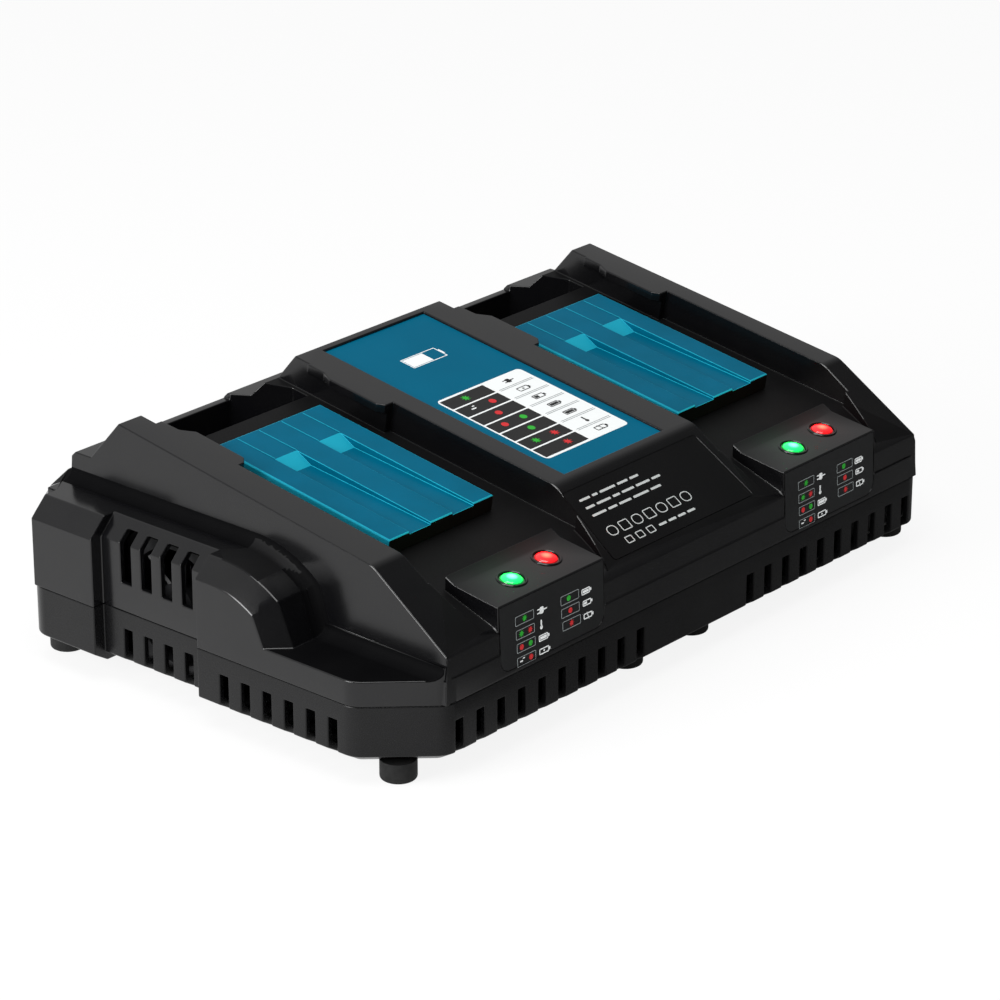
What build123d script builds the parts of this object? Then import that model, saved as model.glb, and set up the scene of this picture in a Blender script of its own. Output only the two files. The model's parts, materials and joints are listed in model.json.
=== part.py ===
from build123d import *
import os
from math import atan, cos, degrees, pi, radians, sin, sqrt

# Dual-port slide-battery charger. Millimetres, +X to the right, +Y to the rear, +Z up,
# origin at the middle of the footprint, on the surface that the feet stand on.

# ---- housing outline ----
housing_length = 335.0
housing_depth = 210.4
front_cut_x = 23.7
front_cut_y = 25.2
rear_cut_x = 29.0
rear_cut_y = 19.5
corner_radius = 10.0
wall = 2.5
foot_height = 8.0
parting_z = 31.8
flange_z = 41.8
deck_z = 67.2
deck_chamfer = 7.5
base_bevel_height = 4.0
base_bevel_width = 6.5
rim_lip = 1.2
rim_lip_height = 3.0
rim_clearance = 0.15

# ---- fender arches ----
arch_top_y = -9.0
arch_end = (-37.0, 58.2)
arch_foot = (-44.4, flange_z)

# ---- raised body: two rails and the hump between them ----
rail_inset = 27.5
rail_width = 9.2
skirt_flare = 3.4
skirt_z = 52.0
rail_rear_inset = 40.4
rail_rear_z = 95.3
top_fall = 0.1555
crease_inset = 38.2
crease_radius = 9.0
front_top_z = 50.2
front_lean = 0.0425
rear_step_inset = 25.8
rear_step_z = 78.2
rear_wall_inset = 15.2
rear_wall_chamfer = 2.0
cove_radius = 5.0
cove_root = 3.0

# ---- battery bays, measured from the middle of a bay ----
bay_left_wall = 40.3
bay_right_wall = 45.4
bay_rear_wall = 42.3
lip_left_reach = 34.6
lip_right_reach = 39.0
lip_rear_y = 43.0
lip_front_y = 15.0
lip_thickness = 4.0
groove_length = 9.0
floor_drop = 12.9
flare_start = 3.0
flare_half = 33.5
flare_middle_inset = 19.2
flare_left_bulge = 1.6
flare_right_bulge = 3.6
bay_end_inset = 26.8
mouth_floor_z = 50.0
pocket_half = 36.0
pocket_right = 41.0
pocket_length = 29.2
pocket_straight = 8.0
pocket_floor_z = 61.0
rear_wall_thickness = 3.8
rear_gap_left = 30.0
rear_gap_right = 27.0
rear_gap_z = 75.9

# ---- indicator blocks and lenses ----
block_half = 30.0
block_back_z = 65.5
block_step = 4.6
block_step_z = 63.1
block_front_z = 60.3
block_foot_z = 34.0
lens_radius = 4.9
lens_clearance = 0.1
lens_flange = 1.3
lens_flange_reach = 1.2
lens_rise = 1.3
green_lens_x = -9.5
green_lens_inset = 12.2
red_lens_x = 13.0
red_lens_inset = 14.7
indicator_board_drop = 7.0
indicator_board_depth = 16.0
indicator_board_gap = 3.0
indicator_post = 4.0
indicator_post_inset = 5.5
board_thickness = 1.6
emitter_size = (3.5, 2.8, 1.9)

# ---- side recess, its slots and the vents of the base ----
recess_depth = 5.3
recess_front_y = -2.0
recess_rear_y = 53.0
slot_width = 5.5
slot_pitch = 10.8
slot_first_y = 7.8
slot_count = 4
slot_bottom_z = 43.4
slot_top_gap = 3.2
vent_width = 4.4
vent_top_z = 24.5
vent_reach = 8.5
front_vent_pitch = 11.5
front_vent_first_x = 34.0
front_vent_count = 10
side_vent_pitch = 10.95
side_vent_first_y = -15.6
side_vent_count = 6

# ---- terminal cover, its guide and its return spring ----
cover_half = 29.2
cover_rear_y = 39.0
cover_front_y = -50.6
cover_drop = 5.8
cover_skin = 1.6
cover_side = 2.0
cover_gap = 0.25
cover_chamfer = 0.5
cover_travel = 26.0
channel_inner = 6.2
channel_outer = 18.0
channel_start_y = 18.0
channel_ramp = 8.0
channel_rear_depth = 3.0
channel_front_depth = 1.0
terminal_clearance = 0.7
tab_y = -12.0
tab_half = 4.0
tab_thickness = 4.0
rod_radius = 1.5
rod_drop = 20.0
rod_clearance = 0.08
lug_thickness = 3.0
lug_gap = 5.0
lug_margin = 2.5
spring_radius = 2.8
spring_wire = 0.8
spring_turns = 7
spring_sides = 8
spring_length = 44.0

# ---- terminals ----
terminal_rear_y = 36.0
terminal_front_y = 13.0
blade_x = 22.4
blade_thickness = 1.0
blade_height = 4.8
blade_length = 18.0
blade_setback = 1.5
blade_nose = 1.2
signal_pitch = 4.0
signal_count = 3
signal_length = 10.0
signal_height = 4.2
terminal_fit = 0.05
carrier_half = 26.0
carrier_depth = 6.0
carrier_flange = 2.0
carrier_fit = 0.1
solder_tail = 4.0

# ---- labels ----
label_thickness = 0.4
centre_label_margin = 13.1
centre_label_rear_gap = 3.1
centre_label_front_gap = 3.6
centre_label_fit = 0.2
centre_recess = 1.4
rating_label_reach = 0.2
rating_label_foot_reach = 2.6
rating_label_top_gap = 4.0
rating_label_foot_gap = 6.2
rating_label_radius = 1.5
panel_margin = 0.6
panel_foot_radius = 5.0

# ---- feet and screws ----
foot_radius = 7.0
foot_inset_x = 17.2
foot_inset_y = 18.5
foot_middle_x = 20.4
screw_inset_x = 21.5
screw_front_inset = 37.2
screw_rear_inset = 31.2
screw_radius = 1.7
screw_fit = 0.05
screw_way = 0.3
screw_head_radius = 3.4
screw_head_way = 0.2
screw_head_height = 2.4
screw_length = 20.0
screw_seat_z = 16.0
post_radius = 4.6
post_top_z = 24.0

# ---- fan ----
fan_size = 50.0
fan_depth = 15.0
fan_wall_gap = 0.6
fan_bore = 23.4
fan_hub = 9.0
fan_blade_gap = 0.9
fan_blades = 7
fan_blade_thickness = 1.2
fan_blade_pitch = 35.0
fan_shaft = 1.5
fan_shaft_fit = 0.05
fan_plate = 2.0
fan_spoke = 2.4
fan_corner = 4.0
fan_end_gap = 0.6

# ---- mains inlet ----
inlet_x = 96.0
inlet_z = 48.0
inlet_width = 21.0
inlet_height = 12.5
inlet_depth = 17.0
inlet_flange = 2.5
inlet_flange_thickness = 2.0
inlet_fit = 0.1
socket_width = 16.0
socket_height = 8.2
socket_waist = 6.6
socket_depth = 13.0
pin_spacing = 8.6
pin_radius = 1.2
pin_length = 10.0
pin_tail = 4.0
pin_fit = 0.03

# ---- circuit board ----
board_z = 18.0
board_left_inset = 33.5
board_right_inset = 31.5
board_front_inset = 29.2
board_rear_inset = 39.2
board_post = 6.0
board_post_inset = 8.0

# ---- what stands on the circuit board ----
transformer_inset = 52.0
transformer_width = 42.0
transformer_depth = 15.0
transformer_height = 36.0
transformer_rise = 2.0
core_leg = 6.0
core_centre = 12.0
winding_gap = 0.3
winding_swell = 7.0
winding_corner = 4.0
winding_pin = 1.0
winding_pin_pitch = 8.0
capacitor_gap = 2.5
capacitor_inset = 20.0
capacitor_radius = 10.0
capacitor_height = 40.0
heatsink_reach_x = 26.6
heatsink_inset = 36.0
heatsink_length = 52.0
heatsink_height = 30.0
heatsink_back = 3.0
heatsink_reach = 9.0
heatsink_fins = 5
heatsink_fin = 1.4
heatsink_foot = 4.0
choke_reach_x = 27.4
choke_inset = 16.0
choke_width = 25.0
choke_depth = 9.0
choke_height = 28.0
choke_bar = 5.0
choke_swell = 3.0
rectifier_reach_x = 1.4
rectifier_inset = 26.0
rectifier_width = 24.0
rectifier_height = 18.0
rectifier_thickness = 4.0
rectifier_leg = 1.0
rectifier_leg_length = 4.0
rectifier_leg_pitch = 6.0
fuse_inset = 8.0
fuse_radius = 2.4
fuse_length = 20.0
fuse_fit = 0.05
fuse_rise = 3.2
clip_spacing = 16.0
clip_length = 4.0
clip_width = 6.0
clip_height = 5.0
clip_mouth = 3.2

half_x = housing_length / 2
half_y = housing_depth / 2
top_half = half_x - rail_inset
skirt_half = top_half + skirt_flare
bay_x = top_half - rail_width - bay_right_wall
rail_rear_y = half_y - rail_rear_inset
crease_y = -half_y + crease_inset
rear_step_y = half_y - rear_step_inset
rear_wall_y = half_y - rear_wall_inset
flare_y = crease_y + flare_start
bay_end_y = -half_y + bay_end_inset
block_step_y = bay_end_y - block_step
pocket_rear_y = rear_wall_y - rear_wall_thickness
pocket_front_y = pocket_rear_y - pocket_length
groove_rear_y = pocket_front_y
groove_front_y = groove_rear_y - groove_length
green_lens_at = (green_lens_x, -half_y + green_lens_inset)
red_lens_at = (red_lens_x, -half_y + red_lens_inset)
lens_row_y = (green_lens_at[1] + red_lens_at[1]) / 2
hump_half = bay_x - bay_rear_wall
centre_label_half = hump_half - centre_label_margin
centre_label_rear_y = rail_rear_y - centre_label_rear_gap
centre_label_front_y = crease_y + centre_label_front_gap
screw_spots = [
    (side * (half_x - screw_inset_x), y)
    for y in (-half_y + screw_front_inset, half_y - screw_rear_inset)
    for side in (-1, 1)
]
fan_outer_x = half_x - recess_depth - wall - base_bevel_width - fan_wall_gap
board_top = board_z + board_thickness
board_rear_y = half_y - board_rear_inset
transformer_y = board_rear_y - transformer_inset
capacitor_y = board_rear_y - capacitor_inset
heatsink_y = board_rear_y - heatsink_inset
choke_y = board_rear_y - choke_inset
rectifier_y = board_rear_y - rectifier_inset
fuse_y = board_rear_y - fuse_inset
choke_x = bay_x - choke_reach_x
capacitor_x = choke_x - choke_width / 2 - choke_swell - capacitor_gap - capacitor_radius
slope_angle = degrees(atan(top_fall))
slope_plane = Plane(
    origin=(0, rail_rear_y, rail_rear_z),
    x_dir=(1, 0, 0),
    z_dir=(0, -sin(radians(slope_angle)), cos(radians(slope_angle))),
)


def top_z(y, drop=0.0):
    """Height at y of the plane that lies a normal distance below the sloping top."""
    return rail_rear_z - top_fall * (rail_rear_y - y) - drop / cos(radians(slope_angle))


def along(y, drop=0.0):
    """Place along the slope plane of the point at y that lies a normal distance below it."""
    return (y - rail_rear_y - drop * sin(radians(slope_angle))) / cos(radians(slope_angle))


def front_at(z):
    """The leaning front face's y at a height."""
    return -half_y + front_lean * (z - parting_z)


def plan_prism(face, low, high):
    """A face drawn in plan, extruded from one height to another."""
    return extrude(Pos(0, 0, low) * face, high - low, dir=(0, 0, 1))


def side_prism(face, low, high):
    """A face drawn in (y, z), extruded along X."""
    return extrude(Pos(low, 0, 0) * (Plane.YZ * face), high - low, dir=(1, 0, 0))


def front_prism(face, low, high):
    """A face drawn in (x, z), extruded along Y."""
    return extrude(Pos(0, low, 0) * (Plane.XZ * face), high - low, dir=(0, 1, 0))


def polygon(*points):
    """A flat polygon through the points."""
    return Polygon(*points, align=None)


def box_between(low, high):
    """A box given by two corners."""
    size = [b - a for a, b in zip(low, high)]
    return Pos(*low) * Box(*size, align=(Align.MIN, Align.MIN, Align.MIN))


def upright(radius, low, high, spot=(0.0, 0.0)):
    """Upright cylinder between two heights at an (x, y) spot."""
    return Pos(*spot, (low + high) / 2) * Cylinder(radius, high - low)


def both_sides(shape):
    """The shape and its mirror image across the middle plane."""
    return shape + mirror(shape, Plane.YZ)


def outline_face(inset=0.0):
    """Plan outline of the housing: a rectangle with cut and rounded corners."""
    corners = polygon(
        (-half_x, front_cut_y - half_y), (front_cut_x - half_x, -half_y),
        (half_x - front_cut_x, -half_y), (half_x, front_cut_y - half_y),
        (half_x, half_y - rear_cut_y), (half_x - rear_cut_x, half_y),
        (rear_cut_x - half_x, half_y), (-half_x, half_y - rear_cut_y),
    )
    rounded = fillet(corners.vertices(), corner_radius)
    return offset(rounded, -inset) if inset else rounded


def main_body(inset=0.0):
    """Raised body before the bays are cut: its side profile, narrowed towards the top."""
    low = parting_z - 2 * inset
    profile = polygon(
        (front_at(low), low),
        (front_at(front_top_z), front_top_z),
        (crease_y, top_z(crease_y)),
        (rail_rear_y, rail_rear_z),
        (rear_step_y, rear_step_z),
        (rear_wall_y - rear_wall_chamfer, rear_step_z),
        (rear_wall_y, rear_step_z - rear_wall_chamfer),
        (rear_wall_y, low),
    )
    crease = [v for v in profile.vertices() if abs(v.X - crease_y) < 0.01]
    profile = fillet(crease, crease_radius)
    if inset:
        profile = offset(profile, -inset, kind=Kind.INTERSECTION)
    high = rail_rear_z + wall
    low_half, high_half = wall_x(low) - inset, wall_x(high) - inset
    front_view = polygon((-low_half, low), (low_half, low), (high_half, high), (-high_half, high))
    return side_prism(profile, -half_x, half_x) & front_prism(front_view, -half_y, half_y)


def fender_profile(low, rear, inset=0.0):
    """The fender's deck, arch and foot seen from the side, down to a height below the flange."""
    top = deck_z - inset
    end = (arch_end[0] + inset, arch_end[1] - inset / 2)
    run = (arch_end[0] - arch_foot[0]) / (arch_end[1] - arch_foot[1])
    foot = (arch_foot[0] + inset - run * (arch_foot[1] - low), low)
    return make_face(
        Polyline(end, foot, (rear, low), (rear, top), (arch_top_y, top))
        + TangentArc((arch_top_y, top), end, tangent=(-1, 0))
    )


def fender(inset=0.0):
    """Right-hand fender: a side wall of deck height that arches down to the flange."""
    rear = half_y - rear_cut_y
    low = parting_z - inset
    outer = half_x - inset
    block = side_prism(fender_profile(low, rear, inset), top_half - wall, outer)
    rim = [
        e for e in block.edges()
        if e.center().X > outer - 0.01 and e.center().Y < rear - 1 and e.center().Z > low + 1
    ]
    return chamfer(rim, deck_chamfer)


def rear_deck(inset=0.0):
    """Deck that runs round the rear of the raised body at fender height."""
    face = outline_face(inset)
    shoulder = deck_z - deck_chamfer - inset
    low = plan_prism(face, parting_z - inset, shoulder)
    high = extrude(Pos(0, 0, shoulder) * face, deck_chamfer, dir=(0, 0, 1), taper=45)
    keep = box_between((-half_x, recess_rear_y + wall, 0), (half_x, half_y, rail_rear_z))
    return (low + high) & keep


def outer_form(inset=0.0):
    """Whole outside of the upper housing, or its cavity where an inset is given."""
    skirt = plan_prism(outline_face(inset), parting_z - inset, flange_z - inset)
    return skirt + rear_deck(inset) + both_sides(fender(inset)) + main_body(inset)


def side_recess(grow=0.0):
    """Right-hand recess that sets the slotted panel back from the fender, with its chamfer."""
    back = half_x - recess_depth - grow
    shoulder = deck_z - deck_chamfer - grow * (sqrt(2) - 1)
    top = shoulder + deck_chamfer + grow
    face = polygon(
        (half_x + 1, 0), (back, 0), (back, shoulder), (back - deck_chamfer - grow, top), (half_x + 1, top)
    )
    return front_prism(face, recess_front_y - grow, recess_rear_y + grow)


def in_both_bays(shape):
    """Two copies of a shape drawn round x = 0, one in the middle of each bay."""
    return Pos(-bay_x, 0, 0) * shape + Pos(bay_x, 0, 0) * shape


def bay_channel(grow=0.0):
    """Straight part of a bay above its sloping floor, without the lips of the rails."""
    face = polygon(
        (-bay_rear_wall, along(pocket_rear_y)), (-bay_rear_wall, along(lip_front_y)),
        (-bay_left_wall, along(lip_front_y)), (-bay_left_wall, along(bay_end_y, floor_drop)),
        (bay_right_wall, along(bay_end_y, floor_drop)), (bay_right_wall, along(lip_front_y)),
        (bay_rear_wall, along(lip_front_y)), (bay_rear_wall, along(pocket_rear_y)),
    )
    if grow:
        face = offset(face, grow, kind=Kind.INTERSECTION)
    return slope_plane * plan_prism(face, -floor_drop - grow, floor_drop)


def bay_lips():
    """Lips that the rails and the hump hold over a bay, before the rails' ends trim them."""
    left = polygon(
        (-bay_rear_wall - 1, along(groove_rear_y)), (-bay_rear_wall + 3, along(groove_rear_y)),
        (-bay_rear_wall + 3.5, along(groove_front_y)), (-lip_left_reach, along(lip_rear_y)),
        (-lip_left_reach, along(lip_front_y + 3)), (-lip_left_reach - 3, along(lip_front_y)),
        (-bay_rear_wall - 1, along(lip_front_y)),
    )
    right = polygon(
        (bay_rear_wall + 1, along(groove_rear_y)), (bay_rear_wall - 1, along(groove_rear_y)),
        (bay_rear_wall - 1, along(groove_front_y)), (lip_right_reach, along(lip_rear_y)),
        (lip_right_reach, along(lip_front_y + 3)), (lip_right_reach + 2, along(lip_front_y)),
        (bay_rear_wall + 1, along(lip_front_y)),
    )
    return slope_plane * (plan_prism(left, -lip_thickness, 0) + plan_prism(right, -lip_thickness, 0))


def bay_mouth(grow=0.0):
    """Front of a bay, where its walls curve in towards the indicator block."""
    middle = -half_y + flare_middle_inset
    end = -half_y - 2
    left = ThreePointArc(
        (-bay_left_wall, flare_y), (-bay_left_wall + flare_left_bulge, middle), (-flare_half, end)
    )
    right = ThreePointArc(
        (flare_half, end), (bay_right_wall - flare_right_bulge, middle), (bay_right_wall, flare_y)
    )
    plan = make_face(left + Line(left @ 1, right @ 0) + right + Line(right @ 1, left @ 0))
    side = polygon(
        (flare_y + 1, top_z(flare_y + 1, floor_drop)),
        (bay_end_y, top_z(bay_end_y, floor_drop)),
        (end, mouth_floor_z),
        (end, rail_rear_z),
        (flare_y + 1, rail_rear_z),
    )
    if grow:
        plan = offset(plan, grow, kind=Kind.INTERSECTION)
        side = offset(side, grow, kind=Kind.INTERSECTION)
    return plan_prism(plan, 0, rail_rear_z + wall) & side_prism(side, -half_x, half_x)


def rear_pocket(grow=0.0):
    """Deep pocket behind the bay floor that clears the catch of a battery."""
    face = polygon(
        (-pocket_half, pocket_front_y), (pocket_right, pocket_front_y),
        (pocket_right, pocket_front_y + pocket_straight), (rear_gap_right, pocket_rear_y),
        (-pocket_half, pocket_rear_y),
    )
    if grow:
        face = offset(face, grow, kind=Kind.INTERSECTION)
    return plan_prism(face, pocket_floor_z - grow, rail_rear_z)


def rear_gap():
    """Notch in the wall behind the pocket that lets the lug of a battery pass."""
    return box_between(
        (-rear_gap_left, pocket_rear_y - 1, rear_gap_z), (rear_gap_right, rear_wall_y + 1, rail_rear_z)
    )


def indicator_block(inset=0.0):
    """Raised block at the front of a bay that carries the two lamps and the status panel."""
    foot = block_foot_z - 2 * inset
    face = polygon(
        (bay_end_y, foot), (bay_end_y, block_back_z), (block_step_y, block_step_z),
        (front_at(block_front_z), block_front_z), (front_at(foot), foot),
    )
    if inset:
        face = offset(face, -inset, kind=Kind.INTERSECTION)
    return side_prism(face, -block_half + inset, block_half - inset)


def block_top_plane(spot):
    """Plane on the block's top at an (x, y) spot, its normal pointing out."""
    run = block_step_y - front_at(block_front_z)
    fall = (block_step_z - block_front_z) / run
    x, y = spot
    size = sqrt(1 + fall * fall)
    return Plane(
        origin=(x, y, block_step_z + fall * (y - block_step_y)),
        x_dir=(1, 0, 0),
        z_dir=(0, -fall / size, 1 / size),
    )


def housing_cavity():
    """Everything inside the upper housing."""
    keep_out = both_sides(side_recess(wall))
    keep_out += in_both_bays(bay_channel(wall) + bay_mouth(wall) + rear_pocket(wall) - indicator_block(wall))
    return outer_form(wall) - keep_out + in_both_bays(indicator_block(wall))


def side_slots():
    """Upright slots through the right-hand recessed panel and its chamfer."""
    outer = half_x + 1
    inner = half_x - recess_depth - deck_chamfer - wall
    slot = box_between(
        (inner, -slot_width / 2, slot_bottom_z), (outer, slot_width / 2, deck_z - slot_top_gap)
    )
    return Compound([Pos(0, slot_first_y + i * slot_pitch, 0) * slot for i in range(slot_count)])


def centre_recess_shape():
    """Shallow recess in the top of the hump that takes the centre label."""
    return slope_plane * box_between(
        (-centre_label_half, along(centre_label_front_y), -centre_recess),
        (centre_label_half, along(centre_label_rear_y), 1),
    )


def wall_x(z):
    """Half width of the raised body at a height."""
    return skirt_half + (skirt_half - top_half) / (rail_rear_z - skirt_z) * (skirt_z - z)


def fender_cove():
    """Concave fillet that follows the deck and the arch along the right side of the raised body."""
    low, high = flange_z - cove_radius, deck_z + 1.1 * cove_radius
    root = wall_x(high) - cove_root
    wall_face = polygon((root, low), (wall_x(low), low), (wall_x(high), high), (root, high))
    slab = front_prism(wall_face, arch_foot[0] - 3 * cove_radius, rear_wall_y)
    rise = side_prism(fender_profile(low, rear_wall_y), root, wall_x(low) + 2 * cove_radius)
    joined = slab + rise
    near = cove_root / 10
    corner = [
        e for e in joined.edges()
        if abs(e.center().X - wall_x(e.center().Z)) < near
        and low + near < e.center().Z < deck_z + near
        and arch_foot[0] - 2 * cove_radius < e.center().Y < rear_wall_y - near
    ]
    return fillet(corner, cove_radius)


def flange_cove():
    """Concave fillet between the right side of the raised body and the flange, ended by the outline."""
    x, z, radius = wall_x(flange_z), flange_z, cove_radius
    root, far = x - cove_root, x + radius
    corner = polygon((root, z - 1), (far, z - 1), (far, z), (x, z + radius), (root, z + radius))
    hollow = Pos(far, z + radius) * Circle(radius)
    cove = front_prism(corner - hollow, front_at(z + radius), arch_foot[0] + radius)
    return cove & plan_prism(outline_face(), 0, rail_rear_z)


def hanging_lugs():
    """Two lugs under a bay floor that hold the guide rod of its cover."""
    under = -floor_drop - 1
    foot = -rod_drop - rod_radius - lug_margin
    front, rear = rod_span()
    lugs = box_between((-tab_half, rear - lug_thickness, foot), (tab_half, rear, under))
    lugs += box_between((-tab_half, front, foot), (tab_half, front + lug_thickness, under))
    return slope_plane * lugs


def rod_span():
    """Ends of a guide rod along the slope plane."""
    front = along(tab_y, floor_drop) - tab_thickness / 2 - spring_length - lug_thickness
    rear = along(tab_y, floor_drop) + tab_thickness / 2 + lug_gap + lug_thickness
    return front, rear


def rod_shape(radius, ends=0.0):
    """Cylinder on the axis of a guide rod."""
    front, rear = rod_span()
    length = rear - front + 2 * ends
    return slope_plane * Pos(0, (front + rear) / 2, -rod_drop) * Rot(90, 0, 0) * Cylinder(radius, length)


def tab_slot():
    """Slot in a bay floor along which the tab of the cover travels."""
    rear = along(tab_y, floor_drop) + tab_thickness / 2 + cover_gap
    front = along(tab_y, floor_drop) - tab_thickness / 2 - cover_travel - 1
    return slope_plane * box_between(
        (-tab_half - cover_gap, front, -floor_drop - wall - 1), (tab_half + cover_gap, rear, -floor_drop + 1)
    )


def carrier_window(grow=0.0):
    """Opening in a bay floor through which the terminal carrier stands."""
    return slope_plane * box_between(
        (-carrier_half - grow, along(terminal_front_y, floor_drop) - grow, -floor_drop - wall - 1),
        (carrier_half + grow, along(terminal_rear_y, floor_drop) + grow, -floor_drop + 1),
    )


def on_block(spot, radius, low, high):
    """Cylinder square to the top of an indicator block."""
    disc = Pos(0, 0, (low + high) / 2) * Cylinder(radius, high - low)
    return block_top_plane(spot) * disc


def panel_face(grow=0.0):
    """Outline of a status panel on the front of its block, drawn in (x, z)."""
    half = block_half - panel_margin + grow
    top = block_front_z - panel_margin + grow
    foot = block_foot_z - grow
    face = polygon((-half, foot), (half, foot), (half, top), (-half, top))
    lower = [v for v in face.vertices() if v.Y < foot + 1]
    return fillet(lower, panel_foot_radius)


def panel_sheet(outside, inside, grow=0.0):
    """Sheet that follows the leaning front of a block between two depths."""
    low = block_foot_z - 5
    slab = polygon(
        (front_at(low) - outside, low), (front_at(rail_rear_z) - outside, rail_rear_z),
        (front_at(rail_rear_z) + inside, rail_rear_z), (front_at(low) + inside, low),
    )
    return front_prism(panel_face(grow), -half_y - 5, -half_y + 10) & side_prism(slab, -half_x, half_x)


def rating_sheet(outside, inside):
    """Sheet on the front slope of the hump between two depths."""
    rise = (top_z(crease_y) - front_top_z) / (crease_y - front_at(front_top_z))
    size = sqrt(1 + rise * rise)
    slope = Plane(
        origin=(0, crease_y, top_z(crease_y)), x_dir=(1, 0, 0), z_dir=(0, -rise / size, 1 / size)
    )
    top = -rating_label_top_gap * size
    foot = (-half_y + rating_label_foot_gap - crease_y) * size
    top_reach = bay_x - bay_right_wall + rating_label_reach
    foot_reach = bay_x - bay_right_wall + rating_label_foot_reach
    face = polygon((-foot_reach, foot), (foot_reach, foot), (top_reach, top), (-top_reach, top))
    face = fillet(face.vertices(), rating_label_radius)
    return slope * plan_prism(face, -inside, outside)


def screw_bosses():
    """Bosses inside the upper housing for the screws that come up through the base."""
    boss_low = post_top_z + rim_clearance
    bosses = Compound([upright(post_radius, boss_low, rail_rear_z, spot) for spot in screw_spots])
    inside = outer_form(wall / 2) + plan_prism(outline_face(wall + rim_clearance), post_top_z, parting_z)
    return bosses & inside


def inlet_hole(grow=0.0):
    """Opening of the mains inlet in the rear wall."""
    half_width = inlet_width / 2 + grow
    half_height = inlet_height / 2 + grow
    return box_between(
        (inlet_x - half_width, half_y - wall - 1, inlet_z - half_height),
        (inlet_x + half_width, half_y + 1, inlet_z + half_height),
    )


def upper_housing():
    """Moulded upper housing with its bays, blocks, slots, guide lugs and screw bosses."""
    outer = outer_form() + both_sides(fender_cove() + flange_cove())
    shell = outer - both_sides(side_recess())
    shell -= in_both_bays(bay_channel() - bay_lips() + bay_mouth() + rear_pocket() + rear_gap())
    shell += in_both_bays(indicator_block())
    shell -= housing_cavity()
    shell += in_both_bays(hanging_lugs() + indicator_posts())
    shell += screw_bosses()
    shell -= both_sides(side_slots()) + centre_recess_shape() + rating_sheet(1, label_thickness)
    shell -= inlet_hole(inlet_fit)
    fittings = rod_shape(rod_radius + rod_clearance, 1) + tab_slot() + carrier_window(carrier_fit)
    fittings += panel_sheet(1, label_thickness)
    for spot in (green_lens_at, red_lens_at):
        fittings += on_block(spot, lens_radius + lens_clearance, -wall - 2, 2)
    shell -= in_both_bays(fittings)
    for spot in screw_spots:
        shell -= upright(screw_radius + screw_fit, 0, screw_seat_z + screw_length + 1, spot)
    return shell


def base_form(inset=0.0):
    """Outside of the lower housing, or its cavity where an inset is given."""
    floor = foot_height + inset
    shoulder = floor + base_bevel_height
    bevel = extrude(
        Pos(0, 0, floor) * outline_face(base_bevel_width + inset), base_bevel_height,
        dir=(0, 0, 1), taper=-degrees(atan(base_bevel_width / base_bevel_height)),
    )
    return bevel + plan_prism(outline_face(inset), shoulder, parting_z + inset)


def base_recess(grow=0.0):
    """Right-hand side recess carried down through the base and its bevel."""
    back = half_x - recess_depth - grow
    floor = foot_height + grow
    return front_prism(
        polygon(
            (back, parting_z + 1), (back, floor + base_bevel_height), (back - base_bevel_width, floor),
            (back - base_bevel_width, 0), (half_x + 1, 0), (half_x + 1, parting_z + 1),
        ),
        recess_front_y - grow, recess_rear_y + grow,
    )


def base_vents():
    """Vents through the lower wall and the bevel: two rows in front, two on each side."""
    half = vent_width / 2
    cuts = []
    front = box_between((-half, -half_y - 1, foot_height - 1), (half, -half_y + vent_reach, vent_top_z))
    for i in range(front_vent_count):
        x = front_vent_first_x + i * front_vent_pitch
        cuts += [Pos(x, 0, 0) * front, Pos(-x, 0, 0) * front]
    side = box_between((half_x - vent_reach, -half, foot_height - 1), (half_x + 1, half, vent_top_z))
    panel = Pos(-recess_depth, 0, 0) * side
    for i in range(side_vent_count):
        y = side_vent_first_y - i * side_vent_pitch
        cuts += [Pos(0, y, 0) * side, mirror(Pos(0, y, 0) * side, Plane.YZ)]
    for i in range(slot_count):
        y = slot_first_y + i * slot_pitch
        cuts += [Pos(0, y, 0) * panel, mirror(Pos(0, y, 0) * panel, Plane.YZ)]
    return cuts


def foot_spots():
    """Name and place of each foot."""
    outer = half_x - foot_inset_x
    inner = foot_middle_x
    columns = (("left", -outer), ("mid_left", -inner), ("mid_right", inner), ("right", outer))
    for row, y in (("front", -half_y + foot_inset_y), ("rear", half_y - foot_inset_y)):
        for column, x in columns:
            yield f"foot_{row}_{column}", x, y


def board_edges():
    """Left, right, front and rear edges of the main circuit board."""
    return (
        -half_x + board_left_inset, half_x - board_right_inset,
        -half_y + board_front_inset, board_rear_y,
    )


def board_post_spots():
    """Places of the posts that carry the main circuit board."""
    left, right, front, rear = board_edges()
    for x in (left + board_post_inset, 0.0, right - board_post_inset):
        for y in (front + board_post_inset, rear - board_post_inset):
            yield x, y


def lower_housing():
    """Tray that closes the charger from below, with vents, posts and the rim lip."""
    shell = base_form() - both_sides(base_recess())
    shell -= base_form(wall) - both_sides(base_recess(wall))
    gap = wall + rim_clearance
    lip_low, lip_high = parting_z - rim_lip_height, parting_z + rim_lip_height
    lip = plan_prism(outline_face(wall / 2), lip_low, parting_z)
    lip += plan_prism(outline_face(gap), parting_z, lip_high)
    lip -= plan_prism(outline_face(gap + rim_lip), lip_low - 1, lip_high + 1)
    recess = base_recess(gap + rim_lip)
    lip -= both_sides(recess + Pos(0, 0, rim_lip_height) * recess)
    shell += lip
    shell -= base_vents()
    half = board_post / 2
    for x, y in board_post_spots():
        shell += box_between((x - half, y - half, foot_height + 1), (x + half, y + half, board_z))
    for spot in screw_spots:
        shell += upright(post_radius, foot_height + 1, post_top_z, spot)
        shell -= upright(screw_head_radius + screw_head_way, 0, screw_seat_z, spot)
        shell -= upright(screw_radius + screw_way, 0, parting_z, spot)
    return shell


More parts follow.
